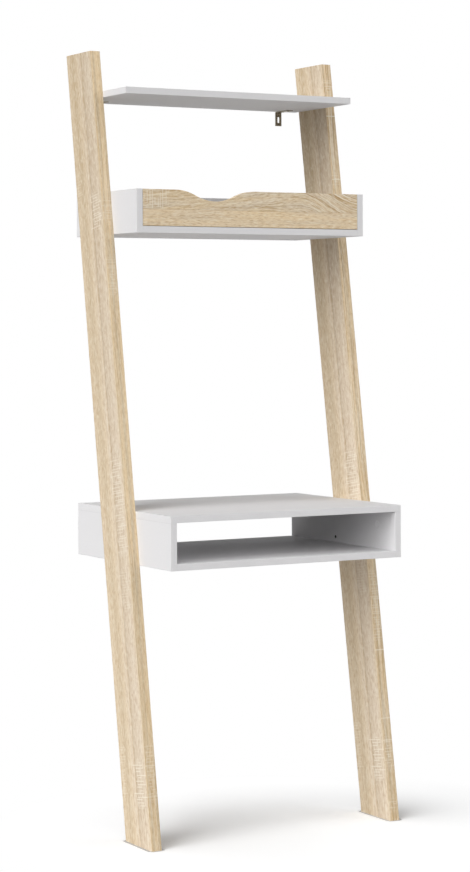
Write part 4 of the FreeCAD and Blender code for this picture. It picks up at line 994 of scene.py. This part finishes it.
class LADDERDESK_OT_cams(bpy.types.Operator):
    """Cast the cams of zinc"""

    bl_idname = "ladderdesk.cams"
    bl_label = "Cams"

    def execute(self, context):
        dress(CAMS, die_cast_zinc())
        return {"FINISHED"}


class LADDERDESK_OT_cam_bolts(bpy.types.Operator):
    """Plate the bolts that the cams pull"""

    bl_idname = "ladderdesk.cam_bolts"
    bl_label = "Cam bolts"

    def execute(self, context):
        dress(CAM_BOLTS, zinc_plated_bolt())
        return {"FINISHED"}


class LADDERDESK_OT_cam_caps(bpy.types.Operator):
    """Mould the round covers on the desk's inner sides"""

    bl_idname = "ladderdesk.cam_caps"
    bl_label = "Cam caps"

    def execute(self, context):
        dress(["desk_cam_caps"], moulded_white_plastic())
        return {"FINISHED"}


class LADDERDESK_OT_black_screws(bpy.types.Operator):
    """Blacken the screws that hold the legs and the drawer's back"""

    bl_idname = "ladderdesk.black_screws"
    bl_label = "Black screws"

    def execute(self, context):
        dress(BLACK_SCREWS, black_phosphated_steel())
        return {"FINISHED"}


class LADDERDESK_OT_dowels(bpy.types.Operator):
    """Turn the dowels from beech"""

    bl_idname = "ladderdesk.dowels"
    bl_label = "Dowels"

    def execute(self, context):
        dress(DOWELS, turned_beech())
        return {"FINISHED"}


class LADDERDESK_OT_drawer_bottom(bpy.types.Operator):
    """Lacquer the drawer's hardboard bottom"""

    bl_idname = "ladderdesk.drawer_bottom"
    bl_label = "Drawer bottom"

    def execute(self, context):
        dress(["drawer_bottom"], lacquered_hardboard())
        return {"FINISHED"}


class LADDERDESK_OT_stage(bpy.types.Operator):
    """Set up the floor, the light and the camera"""

    bl_idname = "ladderdesk.stage"
    bl_label = "Stage"

    def execute(self, context):
        stage = context.scene.ladderdesk_stage
        self.add_floor(context, stage)
        self.add_world(context, stage)
        self.add_lamps(context, stage)
        self.add_camera(context, stage)
        context.scene.view_settings.view_transform = "Standard"
        return {"FINISHED"}

    def add_floor(self, context, stage):
        reach = stage.floor_reach
        corners = [(-reach, -reach, 0), (reach, -reach, 0), (reach, reach, 0), (-reach, reach, 0)]
        mesh = bpy.data.meshes.new("floor")
        mesh.from_pydata(corners, [], [(0, 1, 2, 3)])
        floor = bpy.data.objects.new("floor", mesh)
        context.collection.objects.link(floor)
        floor.data.materials.append(pale_studio_floor(stage))

    def add_world(self, context, stage):
        """Even light all round, with a background that is white wherever it is seen."""
        world = bpy.data.worlds.new("studio")
        world.use_nodes = True
        world.node_tree.nodes.clear()
        node = partial(add, world.node_tree)
        strength = node(
            "Mix", named={"Factor": seen_directly(node), "A": stage.ambient, "B": 1.0}
        )
        node("OutputWorld", node("Background", WHITE, strength))
        context.scene.world = world

    def add_lamps(self, context, stage):
        for name, azimuth, height, spread in LAMPS:
            data = bpy.data.lights.new(name, "SUN")
            data.energy = getattr(stage, name)
            data.angle = math.radians(spread)
            lamp = bpy.data.objects.new(name, data)
            lamp.rotation_euler = (-toward(azimuth, height)).to_track_quat("-Z", "Y").to_euler()
            context.collection.objects.link(lamp)

    def add_camera(self, context, stage):
        data = bpy.data.cameras.new("camera")
        data.lens = stage.lens
        data.sensor_width = SENSOR_WIDTH
        data.shift_y = stage.rise
        camera = bpy.data.objects.new("camera", data)
        camera.location = stage.eye
        camera.rotation_euler = Euler((math.pi / 2, stage.roll, -stage.heading))
        context.collection.objects.link(camera)
        context.scene.camera = camera


# ---------------------------------------------------------------- panel and registration

OPERATORS = (
    LADDERDESK_OT_legs,
    LADDERDESK_OT_drawer_front,
    LADDERDESK_OT_white_boards,
    LADDERDESK_OT_zinc_fittings,
    LADDERDESK_OT_runners,
    LADDERDESK_OT_rollers,
    LADDERDESK_OT_cams,
    LADDERDESK_OT_cam_bolts,
    LADDERDESK_OT_cam_caps,
    LADDERDESK_OT_black_screws,
    LADDERDESK_OT_dowels,
    LADDERDESK_OT_drawer_bottom,
    LADDERDESK_OT_stage,
)
SETTINGS = {
    "ladderdesk_oak": OakSettings,
    "ladderdesk_board": BoardSettings,
    "ladderdesk_stage": StageSettings,
}


class LADDERDESK_PT_panel(bpy.types.Panel):
    """Pieces and settings of the ladder desk"""

    bl_idname = "LADDERDESK_PT_panel"
    bl_label = "Ladder Desk"
    bl_space_type = "VIEW_3D"
    bl_region_type = "UI"
    bl_category = "Ladder Desk"

    def draw(self, context):
        for name, group in SETTINGS.items():
            box = self.layout.box()
            for key in group.__annotations__:
                box.prop(getattr(context.scene, name), key)
        for operator in OPERATORS:
            self.layout.operator(operator.bl_idname)


def register():
    for group in SETTINGS.values():
        bpy.utils.register_class(group)
    for operator in OPERATORS:
        bpy.utils.register_class(operator)
    bpy.utils.register_class(LADDERDESK_PT_panel)
    for name, group in SETTINGS.items():
        setattr(bpy.types.Scene, name, PointerProperty(type=group))


def unregister():
    for name in SETTINGS:
        delattr(bpy.types.Scene, name)
    bpy.utils.unregister_class(LADDERDESK_PT_panel)
    for operator in reversed(OPERATORS):
        bpy.utils.unregister_class(operator)
    for group in SETTINGS.values():
        bpy.utils.unregister_class(group)


def main():
    register()
    bpy.ops.ladderdesk.legs()
    bpy.ops.ladderdesk.drawer_front()
    bpy.ops.ladderdesk.white_boards()
    bpy.ops.ladderdesk.zinc_fittings()
    bpy.ops.ladderdesk.runners()
    bpy.ops.ladderdesk.rollers()
    bpy.ops.ladderdesk.cams()
    bpy.ops.ladderdesk.cam_bolts()
    bpy.ops.ladderdesk.cam_caps()
    bpy.ops.ladderdesk.black_screws()
    bpy.ops.ladderdesk.dowels()
    bpy.ops.ladderdesk.drawer_bottom()
    bpy.ops.ladderdesk.stage()


if __name__ == "__main__":
    main()
